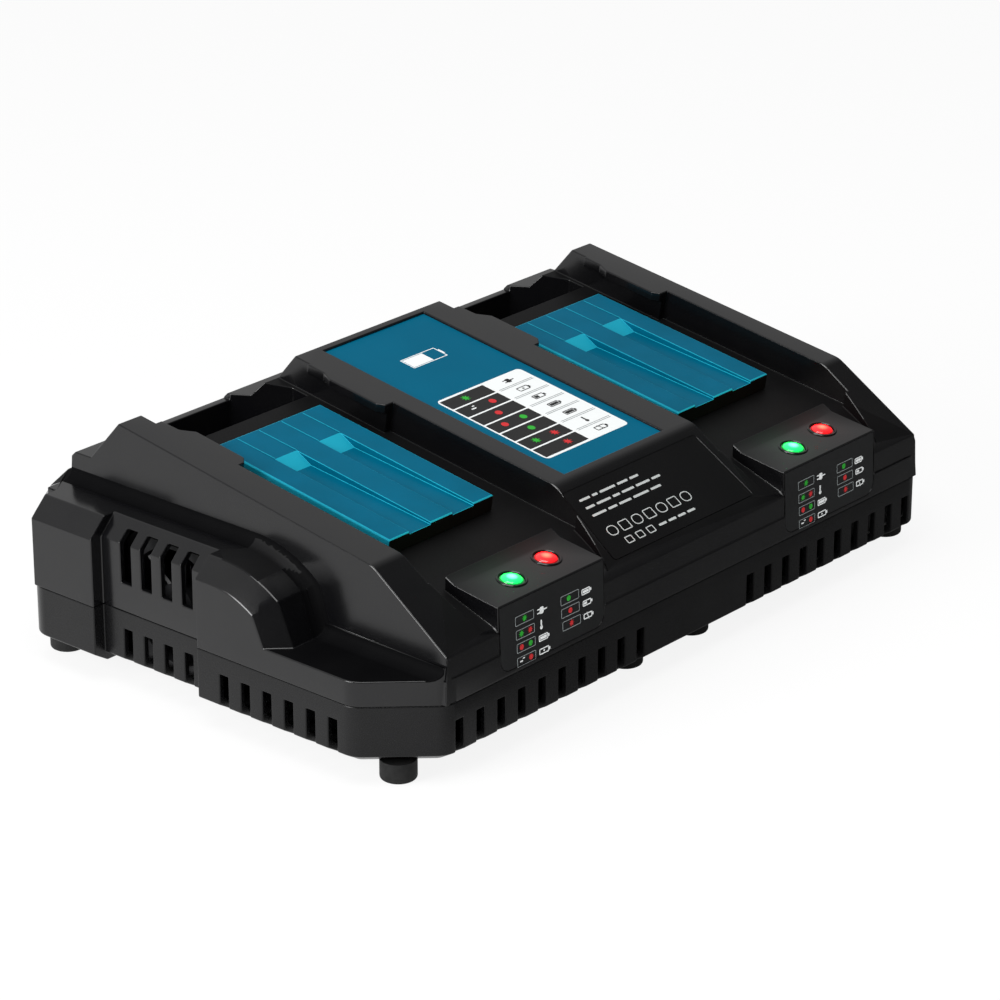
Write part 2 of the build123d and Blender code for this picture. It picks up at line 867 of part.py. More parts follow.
def cover_channels(deeper=0.0):
    """The two channels sunk in the top of a cover, or the plastic round them."""
    front = along(cover_front_y, cover_drop) - 1
    start = along(channel_start_y, cover_drop)
    ramp = start - channel_ramp
    profile = polygon(
        (start + deeper, 1),
        (start + deeper, -cover_drop),
        (ramp + deeper / 2, -cover_drop - channel_rear_depth - deeper),
        (front, -cover_drop - channel_front_depth - deeper),
        (front, 1),
    )
    return both_sides(side_prism(profile, channel_inner - deeper, channel_outer + deeper))


def terminal_cover():
    """Sliding cover of the terminals: a tray open below, with two channels and a guide tab."""
    front, rear = along(cover_front_y, cover_drop), along(cover_rear_y, cover_drop)
    floor = -floor_drop + cover_gap
    under = -cover_drop - cover_skin
    cover = box_between((-cover_half, front, floor), (cover_half, rear, -cover_drop))
    top_edges = [e for e in cover.edges() if abs(e.center().Z + cover_drop) < 0.01]
    cover = chamfer(top_edges, cover_chamfer) - cover_channels()
    inner = cover_half - cover_side
    hollow = box_between((-inner, front + cover_side, floor - 1), (inner, rear - cover_side, under))
    cover -= hollow - cover_channels(cover_skin)
    half = blade_thickness / 2 + terminal_clearance
    for x in (-blade_x, blade_x, *signal_xs()):
        cover -= box_between((x - half, rear - cover_side - 1, floor - 1), (x + half, rear + 1, under))
    middle = along(tab_y, floor_drop)
    cover += box_between(
        (-tab_half, middle - tab_thickness / 2, -rod_drop - rod_radius - lug_margin),
        (tab_half, middle + tab_thickness / 2, under),
    )
    return slope_plane * cover - rod_shape(rod_radius + rod_clearance, 1)


def signal_xs():
    """Places of the signal pins across a bay."""
    return [(i - (signal_count - 1) / 2) * signal_pitch for i in range(signal_count)]


def return_spring():
    """Coil spring round the guide rod, between the cover's tab and the front lug."""
    seat = along(tab_y, floor_drop) - tab_thickness / 2
    steps = spring_turns * spring_sides
    rise = (spring_length - spring_wire) / steps
    turns = [2 * pi * i / spring_sides for i in range(steps + 1)]
    path = Polyline(*[
        (spring_radius * cos(turn), spring_radius * sin(turn), rise * i) for i, turn in enumerate(turns)
    ])
    start = Plane(origin=path @ 0, z_dir=path % 0)
    wire = sweep(start * Rectangle(spring_wire, spring_wire), path=path, transition=Transition.RIGHT)
    return slope_plane * Pos(0, seat - spring_wire / 2, -rod_drop) * Rot(90, 0, 0) * wire


def guide_rod():
    """Steel rod that the cover's tab and the spring slide on."""
    return rod_shape(rod_radius)


def terminal_carrier():
    """Moulded block that stands flush in the bay floor and holds the blades and pins."""
    front, rear = along(terminal_front_y, floor_drop), along(terminal_rear_y, floor_drop)
    under = -floor_drop - wall
    reach = carrier_half + carrier_flange
    foot = -floor_drop - carrier_depth
    block = box_between((-carrier_half, front, foot), (carrier_half, rear, -floor_drop))
    front, rear = front - carrier_flange, rear + carrier_flange
    block += box_between((-reach, front, under - wall), (reach, rear, under))
    return slope_plane * block - power_blades(terminal_fit) - signal_pins(terminal_fit)


def blade(x, length, height, grow):
    """Upright contact blade through the carrier, its nose rounded towards the battery."""
    rear = along(terminal_rear_y, floor_drop) - blade_setback
    front = rear - length
    high = -floor_drop + height
    low = -floor_drop - carrier_depth - solder_tail
    face = polygon((front, low), (rear, low), (rear, high), (front, high))
    face = chamfer([v for v in face.vertices() if v.Y > low + 1], blade_nose)
    if grow:
        face = offset(face, grow, kind=Kind.INTERSECTION)
    half = blade_thickness / 2 + grow
    return side_prism(face, x - half, x + half)


def power_blades(grow=0.0):
    """The two power blades of a bay."""
    return slope_plane * Compound([blade(x, blade_length, blade_height, grow) for x in (-blade_x, blade_x)])


def signal_pins(grow=0.0):
    """The signal pins of a bay."""
    return slope_plane * Compound([blade(x, signal_length, signal_height, grow) for x in signal_xs()])


def lens(spot):
    """Lamp lens with the square collar that holds it under the block's top."""
    low = -wall - lens_flange
    body = upright(lens_radius, low, lens_rise)
    half = lens_radius + lens_flange_reach
    return block_top_plane(spot) * (body + box_between((-half, -half, low), (half, half, -wall)))


def indicator_posts():
    """Posts that hang from the top of a block and carry its circuit board."""
    half = indicator_post / 2
    post = box_between((-half, -half, -indicator_board_drop), (half, half, -wall / 2))
    place = Pos(block_half - wall - indicator_post_inset, 0, 0)
    return block_top_plane((0.0, lens_row_y)) * both_sides(place * post)


def indicator_board():
    """Small circuit board below the lenses, square to the block's top."""
    half_width = block_half - wall - indicator_board_gap
    half_depth = indicator_board_depth / 2
    top = -indicator_board_drop
    return block_top_plane((0.0, lens_row_y)) * box_between(
        (-half_width, -half_depth, top - board_thickness), (half_width, half_depth, top)
    )


def indicator_emitters():
    """Light-emitting diodes on the small board, one under each lens."""
    width, depth, height = emitter_size
    low = -indicator_board_drop
    chip = box_between((-width / 2, -depth / 2, low), (width / 2, depth / 2, low + height))
    return Compound([block_top_plane(spot) * chip for spot in (green_lens_at, red_lens_at)])


def centre_label():
    """Label in the recess on top of the hump."""
    half = centre_label_half - centre_label_fit
    front = along(centre_label_front_y) + centre_label_fit
    rear = along(centre_label_rear_y) - centre_label_fit
    low = -centre_recess
    return slope_plane * box_between((-half, front, low), (half, rear, low + label_thickness))


def foot(x, y):
    """Rubber foot under the base."""
    return upright(foot_radius, 0, foot_height, (x, y))


def housing_screws():
    """Screws that clamp the lower housing to the upper one."""
    screws = []
    for spot in screw_spots:
        head = upright(screw_head_radius, screw_seat_z - screw_head_height, screw_seat_z, spot)
        head -= Pos(*spot, screw_seat_z - screw_head_height) * extrude(RegularPolygon(1.6, 6), 1.4)
        screws.append(head + upright(screw_radius, screw_seat_z, screw_seat_z + screw_length, spot))
    return Compound(screws)


def main_board():
    """Main circuit board on the posts of the lower housing."""
    left, right, front, rear = board_edges()
    return box_between((left, front, board_z), (right, rear, board_top))


def transformer_core():
    """Ferrite core of the switching transformer: two E halves with two windows."""
    low = board_top + transformer_rise
    high = low + transformer_height
    half = transformer_depth / 2
    core = box_between((-transformer_width / 2, -half, low), (transformer_width / 2, half, high))
    inner, outer = core_centre / 2, transformer_width / 2 - core_leg
    window = box_between((inner, -half - 1, low + core_leg), (outer, half + 1, high - core_leg))
    return Pos(0, transformer_y, 0) * (core - both_sides(window))


def transformer_winding():
    """Bobbin and winding round the centre leg of the transformer core, on its pins."""
    low = board_top + transformer_rise + core_leg + winding_gap
    high = board_top + transformer_rise + transformer_height - core_leg - winding_gap
    half_width = transformer_width / 2 - core_leg - winding_gap
    half_depth = transformer_depth / 2 + winding_swell
    coil = box_between((-half_width, -half_depth, low), (half_width, half_depth, high))
    coil = chamfer(coil.edges().filter_by(Axis.Z), winding_corner)
    leg_x = core_centre / 2 + winding_gap
    leg_y = transformer_depth / 2 + winding_gap
    coil -= box_between((-leg_x, -leg_y, low - 1), (leg_x, leg_y, high + 1))
    half = winding_pin / 2
    for y in (-leg_y - winding_swell / 2, leg_y + winding_swell / 2):
        for x in (-winding_pin_pitch, 0, winding_pin_pitch):
            coil += box_between((x - half, y - half, board_top), (x + half, y + half, low + 1))
    return Pos(0, transformer_y, 0) * coil


def bulk_capacitor(side):
    """Electrolytic capacitor that stands on the board beside the transformer."""
    spot = (side * capacitor_x, capacitor_y)
    return upright(capacitor_radius, board_top, board_top + capacitor_height, spot)


def heatsink(side):
    """Finned aluminium heatsink that stands on the board beyond a bay's middle."""
    x = side * (bay_x + heatsink_reach_x)
    front, rear = heatsink_y - heatsink_length / 2, heatsink_y + heatsink_length / 2
    half = heatsink_back / 2
    comb = box_between((x - half, front, board_top), (x + half, rear, board_top + heatsink_height))
    pitch = (heatsink_height - heatsink_foot - heatsink_fin) / (heatsink_fins - 1)
    for i in range(heatsink_fins):
        low = board_top + heatsink_foot + i * pitch
        comb += box_between((x - heatsink_reach, front, low), (x + heatsink_reach, rear, low + heatsink_fin))
    return comb


def filter_choke():
    """Mains filter choke: a closed ferrite frame with a coil on each upright."""
    half_width, half_depth = choke_width / 2, choke_depth / 2
    core = box_between((-half_width, -half_depth, 0), (half_width, half_depth, choke_height))
    core -= box_between(
        (-half_width + choke_bar, -half_depth - 1, choke_bar),
        (half_width - choke_bar, half_depth + 1, choke_height - choke_bar),
    )
    coil = box_between(
        (half_width - choke_bar - choke_swell, -half_depth - choke_swell, choke_bar + winding_gap),
        (half_width + choke_swell, half_depth + choke_swell, choke_height - choke_bar - winding_gap),
    )
    return Pos(choke_x, choke_y, board_top) * (core + both_sides(coil))


def rectifier():
    """Bridge rectifier on its four legs."""
    body = box_between(
        (-rectifier_width / 2, -rectifier_thickness / 2, rectifier_leg_length),
        (rectifier_width / 2, rectifier_thickness / 2, rectifier_leg_length + rectifier_height),
    )
    half = rectifier_leg / 2
    for i in range(4):
        x = (i - 1.5) * rectifier_leg_pitch
        body += box_between((x - half, -half, 0), (x + half, half, rectifier_leg_length + 1))
    return Pos(bay_x - rectifier_reach_x, rectifier_y, board_top) * body


def fuse_axis():
    """Middle of the fuse, its axis along X."""
    return Pos(bay_x - rectifier_reach_x, fuse_y, board_top + fuse_rise) * Rot(0, 90, 0)


def mains_fuse():
    """Glass fuse in its clips."""
    return fuse_axis() * Cylinder(fuse_radius, fuse_length)


def fuse_clips():
    """Spring clips that hold the fuse on the board."""
    clips = []
    bore = fuse_axis() * Cylinder(fuse_radius + fuse_fit, fuse_length + 2)
    for side in (-1, 1):
        middle = bay_x - rectifier_reach_x + side * clip_spacing / 2
        low, high = middle - clip_length / 2, middle + clip_length / 2
        front, rear = fuse_y - clip_width / 2, fuse_y + clip_width / 2
        clip = box_between((low, front, board_top), (high, rear, board_top + clip_height))
        clip -= box_between(
            (low - 1, fuse_y - clip_mouth / 2, board_top + fuse_rise),
            (high + 1, fuse_y + clip_mouth / 2, board_top + clip_height + 1),
        )
        clips.append(clip - bore)
    return Compound(clips)


def fan_place(shape):
    """A fan piece drawn on +Z from its outer face, stood behind the left slots."""
    y = slot_first_y + (slot_count - 1) / 2 * slot_pitch
    return Pos(-fan_outer_x + fan_depth, y, foot_height + wall + fan_size / 2) * Rot(0, -90, 0) * shape


def fan_frame():
    """Square fan frame with its bore, spokes and motor cup."""
    square = chamfer(Rectangle(fan_size, fan_size).vertices(), fan_corner)
    frame = plan_prism(square, 0, fan_depth) - upright(fan_bore, -1, fan_depth + 1)
    spoke = box_between((fan_hub - 1, -fan_spoke / 2, 0), (fan_bore + fan_end_gap, fan_spoke / 2, fan_plate))
    frame += [Rot(0, 0, 90 * turn) * spoke for turn in range(4)]
    frame += upright(fan_hub, 0, fan_plate)
    return fan_place(frame - upright(fan_shaft, -1, fan_plate + 1))


def fan_rotor():
    """Fan rotor: hub on its shaft with pitched blades."""
    low, high = fan_plate + fan_end_gap, fan_depth - fan_end_gap
    middle = (low + high) / 2
    reach = fan_bore - fan_blade_gap
    rotor = upright(fan_hub, low, high) + upright(fan_shaft - fan_shaft_fit, 0, low)
    chord = high - low - fan_blade_thickness
    section = Rot(fan_blade_pitch, 0, 0) * (Plane.YZ * Rectangle(fan_blade_thickness, chord))
    vane = Pos(0, 0, middle) * extrude(section, reach, dir=(1, 0, 0))
    vane &= upright(reach, 0, fan_depth)
    rotor += [Rot(0, 0, 360 / fan_blades * i) * vane for i in range(fan_blades)]
    return fan_place(rotor)


def inlet_body():
    """Two-pole appliance inlet in the rear wall, its socket shaped as a figure eight."""
    half_width, half_height = inlet_width / 2, inlet_height / 2
    body = box_between((-half_width, half_y - inlet_depth, -half_height), (half_width, half_y, half_height))
    body += box_between(
        (-half_width - inlet_flange, half_y - wall - inlet_flange_thickness, -half_height - inlet_flange),
        (half_width + inlet_flange, half_y - wall, half_height + inlet_flange),
    )
    lobe = socket_height / 2
    spread = socket_width / 2 - lobe
    socket = Pos(-spread, 0) * Circle(lobe) + Pos(spread, 0) * Circle(lobe)
    socket += Rectangle(2 * spread, socket_waist)
    body -= front_prism(socket, half_y - socket_depth, half_y + 1)
    return Pos(inlet_x, 0, inlet_z) * body - inlet_pins(pin_fit)


def inlet_pins(grow=0.0):
    """The two round pins of the mains inlet."""
    back = half_y - inlet_depth - pin_tail - grow
    front = half_y - socket_depth + pin_length + grow
    pin = front_prism(Circle(pin_radius + grow), back, front)
    return Compound([Pos(inlet_x + side * pin_spacing / 2, 0, inlet_z) * pin for side in (-1, 1)])


def named_pieces():
    """Every piece of the charger with its name."""
    pieces = {
        "upper_housing": upper_housing(),
        "lower_housing": lower_housing(),
        "housing_screws": housing_screws(),
        "centre_label": centre_label(),
        "rating_label": rating_sheet(0, label_thickness),
        "main_board": main_board(),
        "transformer_core": transformer_core(),
        "transformer_winding": transformer_winding(),
        "rectifier": rectifier(),
        "filter_choke": filter_choke(),
        "mains_fuse": mains_fuse(),
        "fuse_clips": fuse_clips(),
        "fan_frame": fan_frame(),
        "fan_rotor": fan_rotor(),
        "mains_inlet": inlet_body(),
        "inlet_pins": inlet_pins(),
    }
    for name, side in (("1", -1), ("2", 1)):
        pieces[f"bulk_capacitor_{name}"] = bulk_capacitor(side)
    for name, side in (("left", -1), ("right", 1)):
        pieces[f"heatsink_{name}"] = heatsink(side)
    for name, x, y in foot_spots():
        pieces[name] = foot(x, y)
    per_bay = {
        "terminal_cover": terminal_cover(),
        "cover_spring": return_spring(),
        "cover_guide_rod": guide_rod(),
        "terminal_carrier": terminal_carrier(),
        "power_blades": power_blades(),
        "signal_pins": signal_pins(),
        "green_lens": lens(green_lens_at),
        "red_lens": lens(red_lens_at),
        "indicator_board": indicator_board(),
        "indicator_emitters": indicator_emitters(),
        "status_panel": panel_sheet(0, label_thickness),
    }
    for name, shape in per_bay.items():
        pieces[f"{name}_left"] = Pos(-bay_x, 0, 0) * shape
        pieces[f"{name}_right"] = Pos(bay_x, 0, 0) * shape
    return pieces


if __name__ == "__main__":
    os.makedirs("parts", exist_ok=True)
    for name, piece in named_pieces().items():
        export_step(piece, f"parts/{name}.step")
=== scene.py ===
import json
from math import cos, hypot, pi, radians, sin

import bpy
from mathutils import Matrix, Vector

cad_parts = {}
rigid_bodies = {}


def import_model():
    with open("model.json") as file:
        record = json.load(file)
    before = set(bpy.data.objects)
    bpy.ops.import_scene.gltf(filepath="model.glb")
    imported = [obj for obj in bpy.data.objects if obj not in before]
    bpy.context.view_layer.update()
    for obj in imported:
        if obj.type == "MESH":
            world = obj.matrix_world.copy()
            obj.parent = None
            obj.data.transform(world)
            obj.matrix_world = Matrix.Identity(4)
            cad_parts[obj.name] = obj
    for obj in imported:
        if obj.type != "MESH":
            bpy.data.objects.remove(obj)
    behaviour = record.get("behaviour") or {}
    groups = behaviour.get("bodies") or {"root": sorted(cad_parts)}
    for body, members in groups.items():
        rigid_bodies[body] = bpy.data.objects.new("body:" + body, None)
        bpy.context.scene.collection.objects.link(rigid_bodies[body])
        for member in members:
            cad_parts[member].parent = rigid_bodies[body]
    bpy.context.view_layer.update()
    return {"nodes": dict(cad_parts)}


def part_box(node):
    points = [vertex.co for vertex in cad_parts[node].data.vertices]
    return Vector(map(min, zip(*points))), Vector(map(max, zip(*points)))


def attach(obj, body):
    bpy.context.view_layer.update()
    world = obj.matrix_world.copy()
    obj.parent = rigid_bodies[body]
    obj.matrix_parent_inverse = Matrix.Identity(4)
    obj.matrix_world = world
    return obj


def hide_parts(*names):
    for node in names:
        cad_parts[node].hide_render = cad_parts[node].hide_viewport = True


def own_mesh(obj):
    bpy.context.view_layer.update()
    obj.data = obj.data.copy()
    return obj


for leftover in list(bpy.data.objects):
    bpy.data.objects.remove(leftover)

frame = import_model()
nodes = frame["nodes"]

MM = 0.001
SIDES = ("left", "right")

# ---- moulded edges: rounding widths, angles past which an edge is crisp, and the gap that merges ----
housing_edge = 0.5 * MM
base_edge = 0.5 * MM
cover_edge = 0.2 * MM
edge_segments = 3
housing_crisp = radians(24)
cover_crisp = radians(7)
smooth_angle = radians(32)
merge_gap = 0.12 * MM
flat_face_weight = 80

# ---- rough directions of the flat sides, and how near to them a face has to point, as cosines ----
slope_facing = (0, -0.15, 1)
block_facing = (0, -0.1, 1)
panel_facing = (0, -1, 0.04)
rating_facing = (0, -0.5, 0.85)
near_facing = 0.94
same_facing = 0.9995

# ---- matt floors of the bays: their depths under the slope plane of the rails ----
bay_floor_depth = 11.0 * MM
bay_pit_depth = 16.0 * MM
bay_floor_level = 0.5

# ---- painted shade on coves and flanges: the body's side wall at z = 0, how it leans in, and their reach ----
cove_wall_x = 147.4 * MM
cove_wall_lean = 0.0785
cove_gap = 0.1 * MM
cove_reach = 8.0 * MM
cove_low = 41.0 * MM
cove_high = 73.0 * MM
cove_level = 0.02
flange_high = 45.0 * MM
flange_level = 0.985

# ---- painted highlight and shade on a cover: cosines of its front wall, its outer sides and its slanted faces ----
cover_front = 0.9
cover_side = 0.9
cover_side_band = 1.0 * MM
cover_slant = (0.2, 0.99)

# ---- painted highlight lines on a cover, in mm: across the bay, and where the channels start ----
channel_edges = (-18.0, -6.2, 6.2, 18.0)
channel_rear_y = 18.0
highlight_line_width = 0.35
highlight_rear_gap = 0.8

# ---- lenses, in mm: the rim as shares of the radius and heights, then a dome over it ----
lens_radius = 4.9
lens_root = -3.2
lens_rim = ((1.0, -0.6), (0.97, -0.35), (0.9, -0.35))
lens_rise = 1.5
lens_steps = 6
lens_crown = 0.4
lens_smooth = radians(50)
round_sides = 48
bezel_outline = ((6.1, 0.0), (6.0, 0.45), (5.7, 0.7), (5.3, 0.7), (5.0, 0.45), (4.9, -1.0))

# ---- return springs, in mm ----
spring_wire = 0.4
spring_turns = 11
wire_sides = 8
turn_steps = 20
wire_merge_gap = 0.002

# ---- feet: the rounding of the rim, and the dish in the sole as shares of the radius ----
foot_edge = 1.2 * MM
foot_edge_steps = 4
foot_dish = 0.6 * MM
foot_dish_rim = 0.66
foot_dish_floor = 0.58

# ---- printed graphics, in mm on the face that carries them ----
ink = 0.06
corner_segments = 5
burst_rays = 8
burst_waist = 0.45
table_half = 24.1
table_rear_y = 5.7
table_front_y = -50.0
table_corner = 2.2
table_rows = 7
table_split = 0.54
table_margin = 0.8
table_disc = 1.6
table_burst = 2.2
table_lamp_shift = 5.5
cell_line = 0.9
cell_corner = 0.3
row_line = 0.28
row_line_gap = 0.45
sign_line = 0.42
sign_corner = 0.5
strike_turn = 0.35
large_sign_at = (0, 36)
large_sign_size = (20, 8)
large_sign_fill = 0.62

# ---- status panels, in mm: lamp boxes by their place across the panel and height above the floor ----
panel_box = (10.4, 3.7)
panel_box_line = 0.22
panel_boxes = (
    (-15.6, 51.6), (-15.4, 46.1), (-15.1, 40.8), (-15.1, 35.3), (10.0, 51.1), (10.2, 46.0), (10.7, 40.8),
)
panel_disc = 1.1
panel_burst = 1.5

# ---- rating label, in mm: rows of dashes, then a row of symbols, then squares and dashes ----
rating_rows = ((6, 3, 9, 6, 5), (5, 8, 4, 7, 8, 5), (8, 5, 7, 9, 6))
rating_left = 7
rating_top = 5.6
rating_pitch = 3.9
dash_tall = 1.0
dash_gap = 1.5
dash_corner = 0.3
mark_line = 0.4
symbol_count = 7
symbol_left = 10
symbol_pitch = 7.4
symbol_up = 11.4
symbol_size = (5.4, 4.6)
symbol_corners = (2.1, 0.7)
low_row_up = 5.2
square_count = 3
square_left = 14
square_pitch = 6.4
square_size = (4.0, 3.2)
low_dash_count = 4
low_dash_left = 34
low_dash_pitch = 5.8
low_dash = 4.4

# ---- surround and lamps ----
floor_size = 30
world_light = 0.5
floor_glow = 0.88
lens_light = 0.9
glow_power = 0.022
glow_height = 7 * MM
glow_radius = 3 * MM


# ============ small helpers ============

def hex_colour(code):
    """Linear colour of an sRGB hex value."""
    channels = [int(code[i:i + 2], 16) / 255 for i in (1, 3, 5)]
    return (*[c / 12.92 if c <= 0.04045 else ((c + 0.055) / 1.055) ** 2.4 for c in channels], 1.0)


def deselect():
    """Leaves nothing selected and no edit mode open."""
    if bpy.context.object and bpy.context.object.mode != "OBJECT":
        bpy.ops.object.mode_set(mode="OBJECT")
    bpy.ops.object.select_all(action="DESELECT")


def make_active(piece):
    """Selects one piece alone."""
    deselect()
    piece.select_set(True)
    bpy.context.view_layer.objects.active = piece


def join(name, parts):
    """Joins parts into one piece of that name."""
    make_active(parts[0])
    for part in parts:
        part.select_set(True)
    if len(parts) > 1:
        bpy.ops.object.join()
    piece = bpy.context.object
    piece.name = piece.data.name = name
    return piece


def place(piece, matrix):
    """Puts a piece modelled at the origin into place, with the place in its mesh."""
    make_active(piece)
    piece.matrix_world = matrix
    bpy.ops.object.transform_apply(location=True, rotation=True, scale=True)


def edit_whole():
    """Opens the active piece's mesh with all of it selected."""
    bpy.ops.object.mode_set(mode="EDIT")
    bpy.ops.mesh.select_all(action="SELECT")


def close_outward():
    """Turns every face of the open mesh outwards and closes it."""
    bpy.ops.mesh.select_all(action="SELECT")
    bpy.ops.mesh.normals_make_consistent(inside=False)
    bpy.ops.object.mode_set(mode="OBJECT")


def apply_modifier(piece, kind, **settings):
    """Adds a modifier with its settings and applies it."""
    make_active(piece)
    modifier = piece.modifiers.new(kind.title(), kind)
    for key, value in settings.items():
        setattr(modifier, key, value)
    bpy.ops.object.modifier_apply(modifier=modifier.name)


def smooth(piece, angle=smooth_angle):
    """Smooth shading, with edges sharper than the angle left crisp."""
    make_active(piece)
    bpy.ops.object.shade_smooth_by_angle(angle=angle)


def finish_piece(piece, body, material, replaces=()):
    """Gives a piece its material and slot, lets it ride on its body and stand for CAD nodes."""
    piece.data.materials.clear()
    piece.data.materials.append(material)
    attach(piece, body)
    if replaces:
        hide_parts(*replaces)


def face_plane(node, facing):
    """Plane of a node's flat side: a matrix with X along the length of the object and Z out,
    its origin in the middle of the side, and the side's width and height."""
    mesh = nodes[node].data
    facing = Vector(facing).normalized()
    near = [p for p in mesh.polygons if p.normal.dot(facing) > near_facing]
    out = sum((p.normal * p.area for p in near), Vector()).normalized()
    flat = [p for p in near if p.normal.dot(out) > same_facing]
    out = sum((p.normal * p.area for p in flat), Vector()).normalized()
    across = Vector((1, 0, 0))
    up = out.cross(across).normalized()
    points = [mesh.vertices[i].co for p in flat for i in p.vertices]
    lows = [min(p.dot(axis) for p in points) for axis in (across, up, out)]
    highs = [max(p.dot(axis) for p in points) for axis in (across, up, out)]
    middle = across * (lows[0] + highs[0]) / 2 + up * (lows[1] + highs[1]) / 2 + out * highs[2]
    matrix = Matrix((across, up, out)).transposed().to_4x4()
    matrix.translation = middle
    return matrix, highs[0] - lows[0], highs[1] - lows[1]


# ============ materials ============

def add_node(tree, kind, settings=None, links=None):
    """Adds a node, sets its properties and sockets, and links its sockets to other outputs."""
    node = tree.nodes.new(kind)
    for key, value in (settings or {}).items():
        if isinstance(key, str) and hasattr(node, key):
            setattr(node, key, value)
        else:
            node.inputs[key].default_value = value
    for key, source in (links or {}).items():
        tree.links.new(source, node.inputs[key])
    return node


def new_material(name, **sockets):
    """Material with a Principled shader, its even values set on the shader's own sockets."""
    material = bpy.data.materials.new(name)
    material.use_nodes = True
    tree = material.node_tree
    shader = tree.nodes["Principled BSDF"]
    for key, value in sockets.items():
        shader.inputs[key.replace("_", " ")].default_value = value
    return material, tree, shader


def surfaced(name, first, second, roughness, grain_mm, grain_depth, cloud_mm=18.0, **sockets):
    """Solid material with a clouded colour, an uneven gloss and a fine grain: clouds and grains are
    about as wide as their sizes in mm, and the middle of each noise is spread over its range."""
    material, tree, shader = new_material(name, **sockets)
    spot = add_node(tree, "ShaderNodeTexCoord").outputs["Object"]
    cloud = add_node(
        tree, "ShaderNodeTexNoise",
        {"Scale": 1 / (cloud_mm * MM), "Detail": 3.0, "Roughness": 0.5}, {"Vector": spot},
    ).outputs["Fac"]
    shade = add_node(
        tree, "ShaderNodeMapRange",
        {"From Min": 0.3, "From Max": 0.7, "To Min": 0.0, "To Max": 1.0}, {"Value": cloud},
    ).outputs["Result"]
    grain = add_node(
        tree, "ShaderNodeTexNoise",
        {"Scale": 1 / (grain_mm * MM), "Detail": 3.0, "Roughness": 0.6}, {"Vector": spot},
    ).outputs["Fac"]
    colour = add_node(
        tree, "ShaderNodeMix",
        {"data_type": "RGBA", 6: hex_colour(first), 7: hex_colour(second)}, {0: shade},
    )
    gloss = add_node(
        tree, "ShaderNodeMapRange",
        {"From Min": 0.3, "From Max": 0.7, "To Min": roughness[0], "To Max": roughness[1]},
        {"Value": grain},
    )
    relief = add_node(
        tree, "ShaderNodeBump", {"Distance": grain_depth * MM, "Strength": 1.0}, {"Height": grain}
    )
    tree.links.new(colour.outputs[2], shader.inputs["Base Color"])
    tree.links.new(gloss.outputs["Result"], shader.inputs["Roughness"])
    tree.links.new(relief.outputs["Normal"], shader.inputs["Normal"])
    return material


